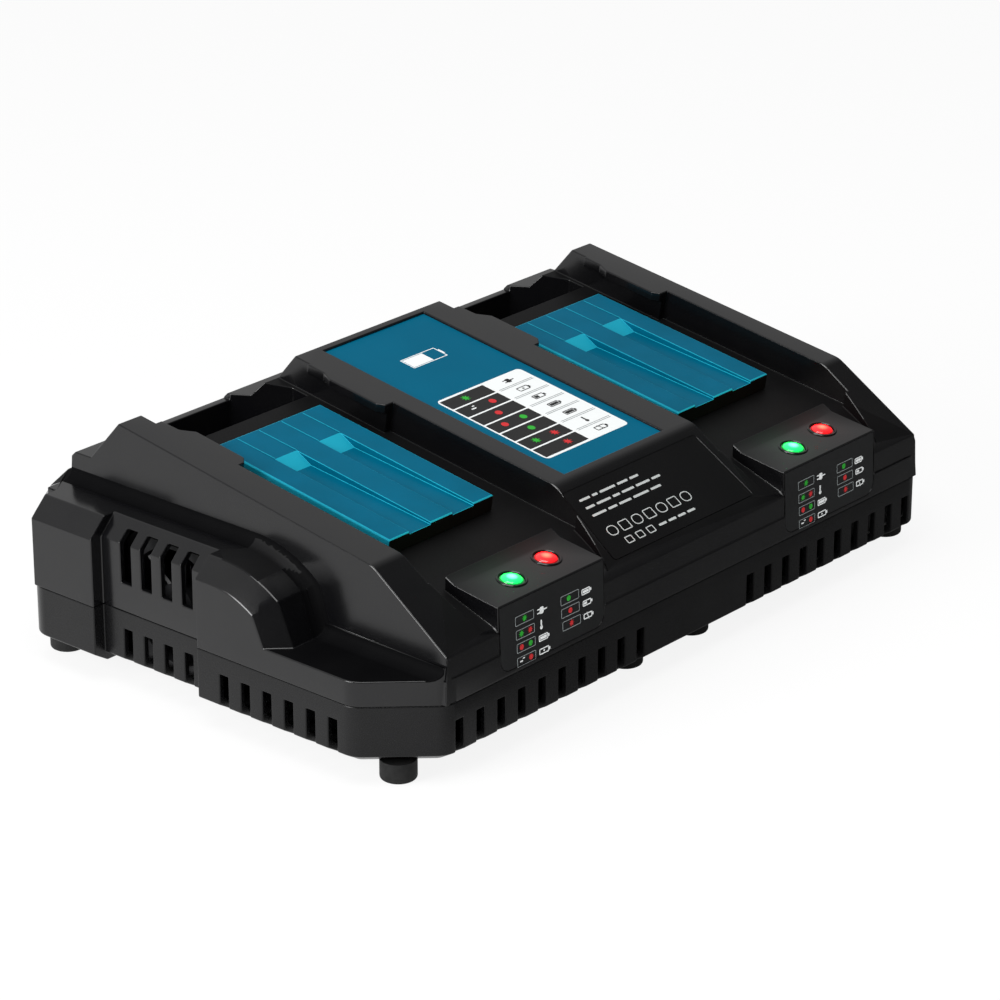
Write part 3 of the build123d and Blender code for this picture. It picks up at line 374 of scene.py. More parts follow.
def make_materials():
    """Every finish of the charger."""
    made = {}
    # Black ABS, injection moulded in a finely eroded tool: satin, with a grain of about 0.35 mm
    # that breaks up the highlights. Drawn a little coarser than the real 0.15 mm so that it shows.
    made["housing"] = surfaced(
        "moulded_black_abs", "#08080a", "#0c0c0d", (0.15, 0.22), 0.35, 0.004,
        IOR=1.53, Specular_IOR_Level=0.45,
    )
    # The same ABS on the bay floors, from a blasted part of the tool: matt, so that it stays dark.
    made["housing_matt"] = surfaced(
        "moulded_black_abs_matt", "#09090a", "#0d0d0e", (0.5, 0.62), 0.4, 0.012,
        IOR=1.53, Specular_IOR_Level=0.12,
    )
    # The same ABS in the coves and on the flanges, darker and almost without reflection: painted shade in
    # the coves and a painted dark reflection on the flanges.
    made["housing_dull"] = surfaced(
        "moulded_black_abs_painted_shade", "#070708", "#0a0a0b", (0.5, 0.62), 0.4, 0.012,
        IOR=1.53, Specular_IOR_Level=0.02,
    )
    # The same ABS in the base, from a coarser part of the tool: duller and a shade paler.
    made["base"] = surfaced(
        "moulded_black_abs_base", "#0c0c0d", "#101011", (0.24, 0.34), 0.4, 0.006,
        IOR=1.53, Specular_IOR_Level=0.27,
    )
    # Teal ABS of the sliding covers, moulded in a polished tool: a soft sheen.
    made["cover"] = surfaced(
        "moulded_teal_abs", "#005771", "#005d7a", (0.3, 0.4), 0.4, 0.004,
        IOR=1.53, Specular_IOR_Level=0.03,
    )
    # The same teal ABS, paler: a painted highlight on the covers' rounded edges, ramps and outer sides, and
    # on their highlight lines.
    made["cover_pale"] = surfaced(
        "moulded_teal_abs_painted_highlight", "#1995ae", "#1e9cb6", (0.3, 0.4), 0.4, 0.004,
        IOR=1.53, Specular_IOR_Level=0.05,
    )
    # Matt polycarbonate film, printed teal on its back: smooth and even, duller than the housing.
    made["label_blue"] = surfaced(
        "printed_polycarbonate_film_teal", "#005874", "#005f7c", (0.36, 0.42), 0.6, 0.0006, 60.0,
        IOR=1.58, Specular_IOR_Level=0.02,
    )
    # Polyester rating sticker, printed black and varnished.
    made["label_black"] = surfaced(
        "varnished_polyester_label", "#060607", "#0b0b0c", (0.14, 0.24), 0.9, 0.003, 40.0,
        IOR=1.55, Specular_IOR_Level=0.35,
    )
    # Smoked polycarbonate film over the indicator panel, printed on its back: dark, with a low gloss.
    made["panel"] = surfaced(
        "smoked_polycarbonate_film", "#141516", "#1a1b1c", (0.28, 0.38), 0.5, 0.003, 25.0,
        IOR=1.58, Specular_IOR_Level=0.35,
    )
    # Nitrile rubber feet, compression moulded: dull, slightly chalky.
    made["rubber"] = surfaced(
        "moulded_nitrile_rubber", "#141414", "#1f1f1f", (0.62, 0.8), 0.3, 0.02, 3.0,
        Specular_IOR_Level=0.3,
    )
    # Zinc-plated steel of screws, springs, rods and clips: bright with a faint cloud.
    made["steel"] = surfaced(
        "zinc_plated_steel", "#b9bcbf", "#cfd2d4", (0.22, 0.36), 0.25, 0.003, 2.0, Metallic=1.0
    )
    # Tin-plated brass terminals, stamped: a warm grey metal, faintly clouded.
    made["copper"] = surfaced(
        "tinned_brass", "#b5ab92", "#cfc7b4", (0.2, 0.34), 0.3, 0.004, 4.0, Metallic=1.0
    )
    # Glass-filled nylon terminal carrier, moulded: dark and slightly rough.
    made["carrier"] = surfaced(
        "glass_filled_nylon", "#17181a", "#222427", (0.45, 0.6), 0.25, 0.015, 4.0,
        IOR=1.53, Specular_IOR_Level=0.35,
    )
    # Woven glass epoxy board under green solder mask.
    made["board"] = surfaced(
        "solder_masked_glass_epoxy", "#0c3d1f", "#14562c", (0.3, 0.42), 0.6, 0.01, 6.0,
        IOR=1.55, Specular_IOR_Level=0.4,
    )
    # Sintered ferrite core: matt dark grey ceramic.
    made["ferrite"] = surfaced(
        "sintered_ferrite", "#26272a", "#34353a", (0.55, 0.7), 0.3, 0.02, 3.0, Specular_IOR_Level=0.35
    )
    # Polyester tape wound over the enamelled copper.
    made["winding"] = surfaced(
        "polyester_tape_winding", "#b98a1d", "#d0a332", (0.25, 0.38), 1.2, 0.02, 5.0,
        IOR=1.57, Specular_IOR_Level=0.4,
    )
    # Heat-shrunk PVC sleeve of the capacitors.
    made["capacitor"] = surfaced(
        "shrunk_pvc_sleeve", "#151a2c", "#1d2440", (0.2, 0.3), 0.8, 0.006, 8.0,
        IOR=1.54, Specular_IOR_Level=0.4,
    )
    # Extruded aluminium heatsinks: dull metal with a fine grain.
    made["aluminium"] = surfaced(
        "extruded_aluminium", "#9b9da0", "#b4b6b9", (0.35, 0.5), 0.3, 0.006, 6.0, Metallic=1.0
    )
    # Moulded epoxy package of the rectifier.
    made["epoxy"] = surfaced(
        "moulded_epoxy_package", "#1c1c1d", "#262627", (0.5, 0.62), 0.25, 0.012, 3.0,
        Specular_IOR_Level=0.35,
    )
    # Drawn glass tube of the fuse.
    made["glass"] = surfaced(
        "drawn_glass_tube", "#dfe6e4", "#eef3f1", (0.03, 0.07), 1.0, 0.001, 5.0,
        Transmission_Weight=0.85, IOR=1.5,
    )
    # Glass-filled PBT fan, moulded: semi-matt black.
    made["fan"] = surfaced(
        "moulded_pbt", "#101011", "#18181a", (0.42, 0.55), 0.3, 0.01, 8.0,
        IOR=1.55, Specular_IOR_Level=0.35,
    )
    # Printing inks of the labels: flat, with a slight satin.
    for ink_name, code in (
        ("white", "#e9ecec"), ("black", "#0b0b0c"), ("grey", "#8f9596"),
        ("green", "#1fa526"), ("red", "#c71d22"), ("pale", "#b9bdbd"),
    ):
        made["ink_" + ink_name] = surfaced(
            "printed_ink_" + ink_name, code, code, (0.36, 0.44), 0.5, 0.001, Specular_IOR_Level=0.35
        )
    # Cast acrylic lenses over lit emitters: clear and glossy, with their colour deepest at the rim.
    made["green_lamp"] = lamp_material("lit_acrylic_green", "#03240f", "#12c45a", "#7dffb4")
    made["red_lamp"] = lamp_material("lit_acrylic_red", "#2c0304", "#d8141c", "#ff6a55")
    return made


def lamp_material(name, rim, body, core):
    """Cast acrylic lens lit from below: a pale hot spot over the lamp, deeper colour at the rim."""
    material, tree, shader = new_material(name, Roughness=0.08, IOR=1.49, Coat_Weight=0.5)
    reach = add_node(tree, "ShaderNodeAttribute", {"attribute_name": "reach"}).outputs["Fac"]
    ramp = add_node(tree, "ShaderNodeValToRGB", None, {"Fac": reach})
    stops = ramp.color_ramp.elements
    stops[0].position, stops[0].color = 0.1, hex_colour(core)
    stops[1].position, stops[1].color = 0.93, hex_colour(rim)
    for at in (0.5, 0.8):
        stops.new(at).color = hex_colour(body)
    tree.links.new(ramp.outputs["Color"], shader.inputs["Base Color"])
    tree.links.new(ramp.outputs["Color"], shader.inputs["Emission Color"])
    shader.inputs["Emission Strength"].default_value = lens_light
    return material


# ============ housings and covers ============

def softened(name, node, width, crisp):
    """A CAD node's shape with its triangles merged and every edge sharper than the crisp angle
    rounded as a mould rounds it; its flat faces stay flat under the light."""
    piece = bpy.data.objects.new(name, nodes[node].data.copy())
    bpy.context.scene.collection.objects.link(piece)
    make_active(piece)
    edit_whole()
    bpy.ops.mesh.remove_doubles(threshold=merge_gap)
    bpy.ops.object.mode_set(mode="OBJECT")
    apply_modifier(
        piece, "BEVEL", width=width, segments=edge_segments, limit_method="ANGLE", angle_limit=crisp,
        use_clamp_overlap=False, miter_outer="MITER_SHARP", loop_slide=False,
    )
    smooth(piece)
    apply_modifier(
        piece, "WEIGHTED_NORMAL", mode="FACE_AREA_WITH_ANGLE", weight=flat_face_weight, keep_sharp=True
    )
    return piece


def matt_and_painted_shade_faces(shell, matt, painted_shade_finish):
    """Gives the matt finish to the bay floors, which lie well under the rails' slope plane, and painted
    shade, a darker finish almost without reflection, to the coves between the raised body and its decks and
    to the low flanges."""
    shell.data.materials.append(matt)
    shell.data.materials.append(painted_shade_finish)
    plane = face_plane("centre_label", slope_facing)[0]
    out = plane.col[2].to_3d()
    height = plane.translation.dot(out)
    for face in shell.data.polygons:
        spot, facing = face.center, face.normal
        depth = height - spot.dot(out)
        corners = [shell.data.vertices[i].co for i in face.vertices]
        beside = max(abs(p.x) - cove_wall_x + cove_wall_lean * p.z for p in corners)
        if facing.dot(out) > bay_floor_level and bay_floor_depth < depth < bay_pit_depth:
            face.material_index = 1
        # Painted shade: coves beside the wall and the low flanges take the darker, unreflecting finish.
        elif beside > cove_gap and facing.z > cove_level and cove_low < spot.z < cove_high:
            flange = facing.z > flange_level and spot.z < flange_high
            if flange or beside < cove_reach:
                face.material_index = 2


def make_shells(finish):
    """Upper and lower housing with rounded edges."""
    upper = softened("upper_housing_shell", "upper_housing", housing_edge, housing_crisp)
    finish_piece(upper, "housing", finish["housing"], ["upper_housing"])
    matt_and_painted_shade_faces(upper, finish["housing_matt"], finish["housing_dull"])
    lower = softened("lower_housing_shell", "lower_housing", base_edge, housing_crisp)
    finish_piece(lower, "housing", finish["base"], ["lower_housing"])


def finish_cover_faces(cover, pale, dark):
    """Gives the paler finish, a painted highlight, to a cover's rounded edges, ramps and outer sides,
    and black, a painted shade, to the wall at its front."""
    cover.data.materials.append(pale)
    cover.data.materials.append(dark)
    out = face_plane("centre_label", slope_facing)[0].col[2].to_3d()
    spread_x = [v.co.x for v in cover.data.vertices]
    middle, half = (max(spread_x) + min(spread_x)) / 2, (max(spread_x) - min(spread_x)) / 2
    for face in cover.data.polygons:
        slanted = cover_slant[0] < face.normal.dot(out) < cover_slant[1]
        at_side = abs(face.center.x - middle) > half - cover_side_band
        # Painted shade: the front wall in black. Painted highlight: slanted faces and outer sides in paler
        # teal.
        if face.normal.y < -cover_front:
            face.material_index = 2
        elif slanted or (at_side and abs(face.normal.x) > cover_side):
            face.material_index = 1


def make_covers(finish):
    """The two sliding covers with rounded edges and, behind their channels, pale lines that paint
    highlights along the channel edges.
    """
    for side in SIDES:
        node = "terminal_cover_" + side
        cover = softened(node + "_shell", node, cover_edge, cover_crisp)
        finish_piece(cover, "cover_" + side, finish["cover"], [node])
        # The paler teal paints highlights on the cover; the black matt finish paints shade on its front
        # wall.
        finish_cover_faces(cover, finish["cover_pale"], finish["housing_matt"])
        plane, _, height = face_plane(node, slope_facing)
        rear = height / 2 / MM - highlight_rear_gap
        front = (channel_rear_y - plane.translation.y / MM) / plane.col[1].y
        spots = [(x, (rear + front) / 2) for x in channel_edges]
        # Pale teal strips along the channel edges: painted highlight lines.
        painted_highlight_lines = [plate(spot, (highlight_line_width, rear - front)) for spot in spots]
        print_layer(node + "_scores", painted_highlight_lines, plane, 0, "cover_" + side, finish["cover_pale"])


# ============ lamps, springs and feet ============

def draw_up(outline, radius, height):
    """Extrudes the selected disc upwards along an outline of (radius, height) points."""
    for next_radius, next_height in outline:
        step = (0, 0, next_height - height)
        bpy.ops.mesh.extrude_region_move(TRANSFORM_OT_translate={"value": step})
        bpy.ops.transform.resize(value=(next_radius / radius, next_radius / radius, 1))
        radius, height = next_radius, next_height


def make_lens(name, node, material):
    """Domed lens with a rim that stands just proud of the block."""
    plane = face_plane(node, block_facing)[0]
    radius = lens_radius * MM
    deselect()
    bpy.ops.mesh.primitive_circle_add(
        vertices=round_sides, radius=radius, fill_type="NGON", location=(0, 0, lens_root * MM)
    )
    lens = bpy.context.object
    lens.name = lens.data.name = name
    edit_whole()
    outline = [(radius * share, height * MM) for share, height in lens_rim]
    dome_share, dome_foot = lens_rim[-1]
    for step in range(1, lens_steps + 1):
        turn = pi / 2 * step / (lens_steps + lens_crown)
        outline.append((cos(turn) * radius * dome_share, (sin(turn) * lens_rise + dome_foot) * MM))
    draw_up(outline, radius, lens_root * MM)
    close_outward()
    top = max(v.co.z for v in lens.data.vertices)
    lens.data.transform(Matrix.Translation((0, 0, -top)))
    reach = lens.data.attributes.new("reach", "FLOAT", "POINT")
    for i, v in enumerate(lens.data.vertices):
        reach.data[i].value = min(1.0, hypot(v.co.x, v.co.y) / radius)
    smooth(lens, lens_smooth)
    place(lens, plane)
    finish_piece(lens, "housing", material, [node])


def make_bezel(name, node, material):
    """Low moulded ring round a lens."""
    plane = face_plane(node, block_facing)[0]
    outline = [(radius * MM, height * MM) for radius, height in bezel_outline]
    deselect()
    bpy.ops.mesh.primitive_circle_add(vertices=round_sides, radius=outline[0][0])
    bezel = bpy.context.object
    bezel.name = bezel.data.name = name
    edit_whole()
    draw_up(outline[1:], *outline[0])
    close_outward()
    place(bezel, plane @ Matrix.Translation((0, 0, -lens_rise * MM)))
    smooth(bezel)
    finish_piece(bezel, "housing", material)


def make_lamps(finish):
    """Green and red lens of each indicator block, each in its ring."""
    for side in SIDES:
        for colour in ("green", "red"):
            node = f"{colour}_lens_{side}"
            make_lens(node + "_dome", node, finish[colour + "_lamp"])
            make_bezel(node + "_bezel", node, finish["housing"])


def make_springs(finish):
    """Return springs wound as real coils."""
    label = face_plane("centre_label", slope_facing)[0]
    along = label.col[1].to_3d()
    out = label.col[2].to_3d()
    for side in SIDES:
        node = "cover_spring_" + side
        low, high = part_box(node)
        middle = (low + high) / 2
        radius = (high.x - low.x) / 2 - spring_wire * MM
        length = (high.y - low.y + 2 * radius * out.y) / along.y
        pitch = (length - 2 * spring_wire * MM) / spring_turns
        deselect()
        bpy.ops.mesh.primitive_circle_add(
            vertices=wire_sides, radius=spring_wire * MM, location=(radius, 0, 0), rotation=(pi / 2, 0, 0)
        )
        spring = bpy.context.object
        spring.name = spring.data.name = node + "_coil"
        bpy.ops.object.transform_apply(location=True, rotation=True, scale=True)
        steps = spring_turns * turn_steps
        apply_modifier(
            spring, "SCREW", angle=2 * pi * spring_turns, screw_offset=pitch * spring_turns,
            steps=steps, render_steps=steps, use_smooth_shade=True,
        )
        edit_whole()
        bpy.ops.mesh.remove_doubles(threshold=wire_merge_gap * MM)
        bpy.ops.mesh.select_all(action="DESELECT")
        bpy.ops.mesh.select_non_manifold()
        bpy.ops.mesh.fill()
        close_outward()
        turned = Matrix((Vector((1, 0, 0)), -out, along)).transposed().to_4x4()
        turned.translation = middle - along * pitch * spring_turns / 2
        place(spring, turned)
        finish_piece(spring, "housing", finish["steel"], [node])
        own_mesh(spring)


def make_feet(finish):
    """Rubber feet: turned sole up as one piece, with a rounded rim and a dished sole."""
    feet = sorted(n for n in nodes if n.startswith("foot_"))
    low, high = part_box(feet[0])
    radius = (high.x - low.x) / 2
    tall = high.z - low.z
    deselect()
    bpy.ops.mesh.primitive_circle_add(vertices=round_sides, radius=radius, fill_type="NGON")
    model = bpy.context.object
    edit_whole()
    outline = []
    for step in range(foot_edge_steps + 1):
        turn = pi / 2 * step / foot_edge_steps
        outline.append((radius - foot_edge * (1 - cos(turn)), tall - foot_edge * (1 - sin(turn))))
    outline += [(radius * foot_dish_rim, tall), (radius * foot_dish_floor, tall - foot_dish)]
    draw_up(outline, radius, 0.0)
    close_outward()
    model.data.transform(Matrix.Translation((0, 0, tall)) @ Matrix.Rotation(pi, 4, "X"))
    smooth(model)
    for node in feet:
        low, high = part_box(node)
        foot = bpy.data.objects.new(node + "_rubber", model.data.copy())
        bpy.context.scene.collection.objects.link(foot)
        foot.data.transform(Matrix.Translation(((low.x + high.x) / 2, (low.y + high.y) / 2, low.z)))
        finish_piece(foot, "housing", finish["rubber"], [node])
    bpy.data.objects.remove(model)


# ============ printed graphics ============

def plate(at, size, corner=0.0, turn=0.0):
    """Flat rectangle in mm, with rounded corners if asked."""
    deselect()
    bpy.ops.mesh.primitive_plane_add(size=1, location=(at[0] * MM, at[1] * MM, 0))
    shape = bpy.context.object
    shape.scale = (size[0] * MM, size[1] * MM, 1)
    shape.rotation_euler.z = turn
    bpy.ops.object.transform_apply(location=True, rotation=True, scale=True)
    if corner:
        edit_whole()
        bpy.ops.mesh.bevel(offset=corner * MM, segments=corner_segments, affect="VERTICES")
        bpy.ops.object.mode_set(mode="OBJECT")
    return shape


def disc(at, radius, sides=24):
    """Flat disc in mm."""
    deselect()
    bpy.ops.mesh.primitive_circle_add(
        vertices=sides, radius=radius * MM, fill_type="NGON", location=(at[0] * MM, at[1] * MM, 0)
    )
    bpy.ops.object.transform_apply(location=True, rotation=True, scale=True)
    return bpy.context.object


def burst(at, radius):
    """Flat starburst in mm: every other corner of a disc drawn in."""
    shape = disc((0, 0), radius, burst_rays * 2)
    for i, vertex in enumerate(shape.data.vertices):
        if i % 2:
            vertex.co *= burst_waist
    shape.data.transform(Matrix.Translation((at[0] * MM, at[1] * MM, 0)))
    return shape


def frame_line(at, size, line, corner):
    """Rectangle drawn as a line of even width."""
    shape = plate(at, size, corner)
    make_active(shape)
    edit_whole()
    bpy.ops.mesh.select_mode(type="FACE")
    bpy.ops.mesh.inset(thickness=line * MM)
    bpy.ops.mesh.delete(type="FACE")
    bpy.ops.object.mode_set(mode="OBJECT")
    return shape


def battery_sign(at, fill, size=(6.2, 2.9)):
    """Battery seen from the side: a case line, a cap, and its charge as a bar clear of the line."""
    x, y = at
    width, height = size
    cap_width, cap_share, cap_out = 0.7, 0.45, 0.4
    clear_x, clear_y = 1.5, 1.4
    signs = [
        frame_line(at, size, sign_line, sign_corner),
        plate((x + width / 2 + cap_out, y), (cap_width, height * cap_share)),
    ]
    if fill:
        full = width - clear_x
        signs.append(plate((x - (full - full * fill) / 2, y), (full * fill, height - clear_y)))
    return signs


def plug_sign(at, scale=1.0):
    """Mains plug lying on its side: body, two pins and a short lead."""
    body, pin, lead = (2.4, 3.0), (1.6, 0.5), (2.2, 0.55)
    parts = (((0, 0), body, 0.7), ((-1.9, 0.8), pin, 0), ((-1.9, -0.8), pin, 0), ((2.2, 0), lead, 0))
    return [
        plate((at[0] + x * scale, at[1] + y * scale), (wide * scale, tall * scale), corner * scale)
        for (x, y), (wide, tall), corner in parts
    ]


def heat_sign(at, scale=1.0):
    """Thermometer: a tube over a bulb."""
    x, y = at
    tube, tube_rise, bulb, bulb_drop = (0.8, 3.0), 0.7, 0.85, 1.1
    return [
        plate((x, y + tube_rise * scale), (tube[0] * scale, tube[1] * scale), 0.35 * scale),
        disc((x, y - bulb_drop * scale), bulb * scale, 16),
    ]


def strike(at, size):
    """Slanted stroke through a sign."""
    return [plate(at, size, turn=strike_turn)]


def print_layer(name, shapes, plane, lift, body, material):
    """Joins flat shapes into one printed layer on a plane."""
    layer = join(name, shapes)
    apply_modifier(layer, "SOLIDIFY", thickness=ink * MM, offset=1.0)
    place(layer, plane @ Matrix.Translation((0, 0, lift * MM)))
    finish_piece(layer, body, material)


def make_table(finish):
    """Status table of the centre label: lamp colours on black at the left, signs on white."""
    plane = face_plane("centre_label", slope_facing)[0]
    run = plane.col[1].y
    middle_y = plane.translation.y / MM
    rear = (table_rear_y - middle_y) / run
    front = (table_front_y - middle_y) / run
    tall = rear - front
    centre = (rear + front) / 2
    pitch = tall / table_rows
    row_y = [rear - pitch * (i + 0.5) for i in range(table_rows)]
    full = 2 * table_half
    black_width = full * table_split
    black_x = -table_half + black_width / 2
    sign_x = table_half - (full - black_width) / 2

    ground = plate((0, centre), (full + 2 * table_margin, tall + 2 * table_margin), table_corner)
    print_layer("table_ground", [ground], plane, 0, "housing", finish["ink_white"])
    cell_x = black_x - cell_line / 4
    cell_size = (black_width - cell_line * 0.6, pitch - cell_line)
    cells = [plate((cell_x, y), cell_size, cell_corner) for y in row_y]
    print_layer("table_cells", cells, plane, ink, "housing", finish["ink_black"])
    line_x, line_length = sign_x + 0.4, full - black_width - 2.4
    lines = []
    for y in row_y[:-1]:
        for shift in (-row_line_gap, row_line_gap):
            lines.append(plate((line_x, y - pitch / 2 + shift), (line_length, row_line)))
    print_layer("table_lines", lines, plane, ink, "housing", finish["ink_grey"])

    left, right = black_x - table_lamp_shift, black_x + table_lamp_shift
    green = [
        burst((black_x - 1.5, row_y[0]), table_burst), burst((left, row_y[5]), table_burst),
        disc((right, row_y[3]), table_disc), disc((black_x + 1.0, row_y[4]), table_disc),
    ]
    red = [
        disc((right, row_y[1]), table_disc), disc((black_x, row_y[2]), table_disc),
        disc((left, row_y[3]), table_disc), burst((right, row_y[5]), table_burst),
        burst((right - 1.5, row_y[6]), table_burst),
    ]
    white = [plate((left, row_y[1]), (2.6, 0.7), 0.2), plate((left + 1.2, row_y[1] + 1.6), (1.2, 0.6), 0.2)]
    print_layer("table_green", green, plane, 2 * ink, "housing", finish["ink_green"])
    print_layer("table_red", red, plane, 2 * ink, "housing", finish["ink_red"])
    print_layer("table_marks", white, plane, 2 * ink, "housing", finish["ink_white"])

    places = [(sign_x, y) for y in row_y]
    signs = plug_sign(places[0], 0.95)
    signs += battery_sign(places[1], 0) + [disc(places[1], 0.5, 12)]
    signs += battery_sign(places[2], 0.5)
    signs += battery_sign(places[3], 1.0) + battery_sign(places[4], 1.0)
    signs += heat_sign(places[5])
    signs += battery_sign(places[6], 0) + strike(places[6], (0.4, 3.6))
    print_layer("table_signs", signs, plane, ink, "housing", finish["ink_black"])

    large_battery = battery_sign(large_sign_at, large_sign_fill, large_sign_size)
    print_layer("label_sign", large_battery, plane, 0, "housing", finish["ink_white"])


def make_panel_signs(finish):
    """Lamp boxes and signs of each status panel."""
    for side in SIDES:
        plane = face_plane("status_panel_" + side, panel_facing)[0]
        centre_z = plane.translation.z / MM

        def spot(x, z):
            return (x, z - centre_z)

        boxes = [frame_line(spot(x, z), panel_box, panel_box_line, sign_corner) for x, z in panel_boxes]
        print_layer(f"panel_boxes_{side}", boxes, plane, 0, "housing", finish["ink_grey"])
        green = [
            burst(spot(-15.6, 51.6), panel_burst), burst(spot(-17.6, 46.1), panel_burst),
            disc(spot(-12.6, 40.8), panel_disc), disc(spot(9.4, 51.1), panel_disc),
        ]
        red = [
            burst(spot(-12.6, 46.1), panel_burst), disc(spot(-17.6, 40.8), panel_disc),
            disc(spot(-12.6, 35.3), panel_disc), disc(spot(10.2, 46.0), panel_disc),
            burst(spot(10.7, 40.8), panel_burst),
        ]
        print_layer(f"panel_green_{side}", green, plane, 0, "housing", finish["ink_green"])
        print_layer(f"panel_red_{side}", red, plane, 0, "housing", finish["ink_red"])
        signs = plug_sign(spot(-6.0, 51.5), 0.9) + heat_sign(spot(-6.4, 45.8), 0.9)
        signs += battery_sign(spot(-5.4, 40.6), 1.0, (5.2, 2.5))
        signs += battery_sign(spot(-5.2, 35.3), 0, (5.4, 2.4)) + [disc(spot(-5.2, 35.3), 0.4, 12)]
        signs += battery_sign(spot(19.2, 50.7), 1.0, (4.8, 2.4))
        signs += battery_sign(spot(19.7, 46.0), 0.5, (4.8, 2.3))
        signs += battery_sign(spot(20.1, 40.7), 0, (4.8, 2.3)) + strike(spot(20.1, 40.7), (0.35, 3.0))
        signs += [plate(spot(-18.0, 35.3), (1.6, 0.5)), plate(spot(-16.6, 36.2), (1.0, 0.4))]
        print_layer(f"panel_signs_{side}", signs, plane, 0, "housing", finish["ink_white"])


def make_rating_marks(finish):
    """Rows of plain dashes, rings and squares where a rating label has its printing."""
    plane, width, height = face_plane("rating_label", rating_facing)
    left, top = -width / 2 / MM, height / 2 / MM
    marks = []
    for row, lengths in enumerate(rating_rows):
        x = left + rating_left
        y = top - rating_top - rating_pitch * row
        for length in lengths:
            marks.append(plate((x + length / 2, y), (length, dash_tall), dash_corner))
            x += length + dash_gap
    for i in range(symbol_count):
        at = (left + symbol_left + symbol_pitch * i, -top + symbol_up)
        marks.append(frame_line(at, symbol_size, mark_line, symbol_corners[i % 2]))
    for i in range(square_count):
        at = (left + square_left + square_pitch * i, -top + low_row_up)
        marks.append(frame_line(at, square_size, mark_line, sign_corner))
    for i in range(low_dash_count):
        at = (left + low_dash_left + low_dash_pitch * i, -top + low_row_up)
        marks.append(plate(at, (low_dash, dash_tall), dash_corner))
    print_layer("rating_marks", marks, plane, 0, "housing", finish["ink_pale"])


# ============ stage, lights and camera ============

def direction_share(tree, vector, towards, low, high, least, most):
    """Share that grows from least to most along a direction, between two distances along it."""
    along = add_node(tree, "ShaderNodeVectorMath", {"operation": "DOT_PRODUCT", 1: towards}, {0: vector})
    return add_node(
        tree, "ShaderNodeMapRange",
        {
            "From Min": low, "From Max": high, "To Min": least, "To Max": most,
            "interpolation_type": "SMOOTHSTEP",
        },
        {"Value": along.outputs["Value"]},
    ).outputs["Result"]


def seen_strength(tree, mirrored):
    """1 where the eye or a clear piece sees the surround, and its mirrored share in glossy surfaces."""
    rays = add_node(tree, "ShaderNodeLightPath").outputs
    glossy = add_node(
        tree, "ShaderNodeMath", {"operation": "MULTIPLY"}, {0: rays["Is Glossy Ray"], 1: mirrored}
    )
    seen = add_node(
        tree, "ShaderNodeMath", {"operation": "MAXIMUM"}, {0: rays["Is Camera Ray"], 1: glossy.outputs[0]}
    )
    return add_node(
        tree, "ShaderNodeMath", {"operation": "MAXIMUM"},
        {0: seen.outputs[0], 1: rays["Is Transmission Ray"]},
    ).outputs[0]


def make_stage():
    """White paper floor that keeps the object's shadow. Its mirror image is brightest at the left."""
    deselect()
    bpy.ops.mesh.primitive_plane_add(size=floor_size, location=(0, 0, 0))
    floor = bpy.context.object
    floor.name = "floor"
    material, tree, shader = new_material("matt_white_paper", Roughness=0.9, Specular_IOR_Level=0.0)
    shader.inputs["Base Color"].default_value = hex_colour("#f4f4f4")
    spot = add_node(tree, "ShaderNodeTexCoord").outputs["Object"]
    mirrored = direction_share(
        tree, spot, towards=(-0.9, 0.35, 0), low=-0.02, high=0.16, least=0.16, most=1.0
    )
    strength = seen_strength(tree, mirrored)
    rays = add_node(tree, "ShaderNodeLightPath").outputs
    eye = add_node(
        tree, "ShaderNodeMath", {"operation": "MULTIPLY", 1: floor_glow}, {0: rays["Is Camera Ray"]}
    )
    share = add_node(
        tree, "ShaderNodeMath", {"operation": "MAXIMUM"}, {0: eye.outputs[0], 1: rays["Is Glossy Ray"]}
    )
    glow = add_node(tree, "ShaderNodeEmission", {"Color": (1, 1, 1, 1)}, {"Strength": strength})
    mixed = add_node(
        tree, "ShaderNodeMixShader", None,
        {0: share.outputs[0], 1: shader.outputs[0], 2: glow.outputs[0]},
    )
    tree.links.new(mixed.outputs[0], tree.nodes["Material Output"].inputs["Surface"])
    floor.data.materials.append(material)


def make_world():
    """White surround. As a mirror image it is brightest behind and above the object, as in front of
    a large window, and as light it is even and soft."""
    world = bpy.data.worlds.new("white_studio")
    bpy.context.scene.world = world
    world.use_nodes = True
    tree = world.node_tree
    direction = add_node(tree, "ShaderNodeTexCoord").outputs["Generated"]
    mirrored = direction_share(
        tree, direction, towards=(0.0, 0.85, 0.4), low=0.1, high=0.8, least=0.1, most=0.6
    )
    seen = seen_strength(tree, mirrored)
    rays = add_node(tree, "ShaderNodeLightPath").outputs
    soft = add_node(
        tree, "ShaderNodeMath", {"operation": "MULTIPLY", 1: world_light}, {0: rays["Is Diffuse Ray"]}
    ).outputs[0]
    strength = add_node(tree, "ShaderNodeMath", {"operation": "MAXIMUM"}, {0: seen, 1: soft})
    background = tree.nodes["Background"]
    background.inputs["Color"].default_value = (1, 1, 1, 1)
    tree.links.new(strength.outputs[0], background.inputs["Strength"])


def soft_lamp(name, at, aim, size, power):
    """Rectangular softbox pointed at a spot."""
    data = bpy.data.lights.new(name, "AREA")
    data.shape = "RECTANGLE"
    data.size, data.size_y = size
    data.energy = power
    lamp = bpy.data.objects.new(name, data)
    bpy.context.scene.collection.objects.link(lamp)
    lamp.location = at
    lamp.rotation_euler = (Vector(aim) - Vector(at)).to_track_quat("-Z", "Y").to_euler()


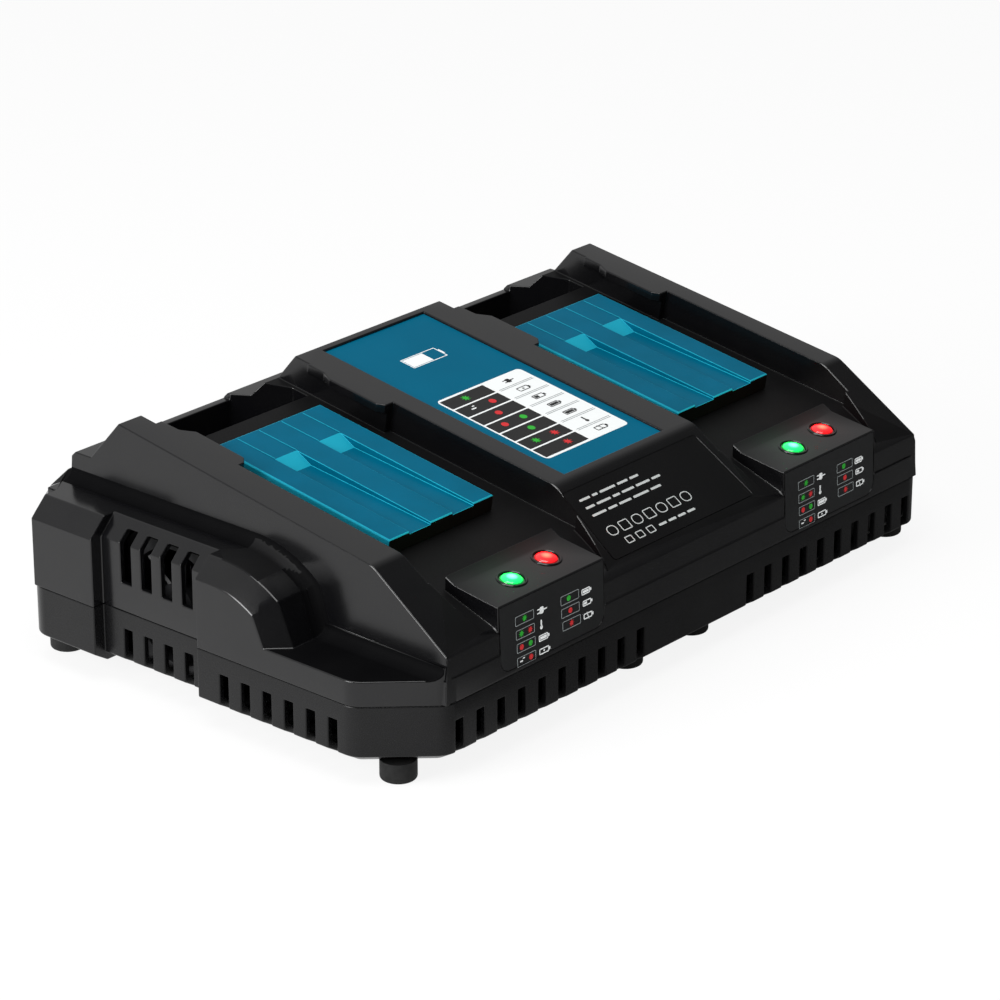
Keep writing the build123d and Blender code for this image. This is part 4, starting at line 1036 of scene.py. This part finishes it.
def lens_glow(node, colour):
    """Small lamp over a lens, for the light that it throws on its block."""
    low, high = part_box(node)
    data = bpy.data.lights.new(node + "_glow", "POINT")
    data.color = hex_colour(colour)[:3]
    data.energy = glow_power
    data.shadow_soft_size = glow_radius
    lamp = bpy.data.objects.new(node + "_glow", data)
    lamp.visible_glossy = False
    bpy.context.scene.collection.objects.link(lamp)
    lamp.location = ((low.x + high.x) / 2, (low.y + high.y) / 2, high.z + glow_height)


def make_lights():
    """Overhead key, a tall box at the left, and the glow of the lenses."""
    for side in SIDES:
        lens_glow("green_lens_" + side, "#3dff8c")
        lens_glow("red_lens_" + side, "#ff4a3c")
    soft_lamp("key_box", at=(-0.35, -0.15, 1.25), aim=(0, 0, 0.03), size=(0.9, 0.7), power=9)
    soft_lamp("side_box", at=(-1.25, 0.25, 0.55), aim=(0, 0, 0.04), size=(0.5, 0.8), power=15)


def make_camera():
    """Camera on the object's front left, a little above it, aimed at its middle."""
    data = bpy.data.cameras.new("camera")
    data.sensor_width = 36.0
    data.lens = 140.887
    data.shift_x = 0.01011
    data.shift_y = -0.0052
    data.clip_start, data.clip_end = 0.05, 50
    camera = bpy.data.objects.new("camera", data)
    bpy.context.scene.collection.objects.link(camera)
    azimuth, elevation, distance = radians(-49.03), radians(22.55), 1.56062
    aim = Vector((0, 0, 0.04))
    back = Vector((sin(azimuth) * cos(elevation), -cos(azimuth) * cos(elevation), sin(elevation)))
    camera.location = aim + back * distance
    camera.rotation_euler = (-back).to_track_quat("-Z", "Y").to_euler()
    bpy.context.scene.camera = camera


def dress_frame(finish):
    """Gives every CAD node the finish of its material slot."""
    for node in nodes.values():
        slot = node.material_slots[0].material.name if node.material_slots else ""
        if slot in finish:
            node.material_slots[0].material = finish[slot]


def main():
    """Dresses the frame, adds the pieces, and sets the stage."""
    bpy.context.scene.view_settings.view_transform = "Standard"
    finish = make_materials()
    dress_frame(finish)
    make_shells(finish)
    make_covers(finish)
    make_lamps(finish)
    make_springs(finish)
    make_feet(finish)
    make_table(finish)
    make_panel_signs(finish)
    make_rating_marks(finish)
    make_stage()
    make_world()
    make_lights()
    make_camera()


main()
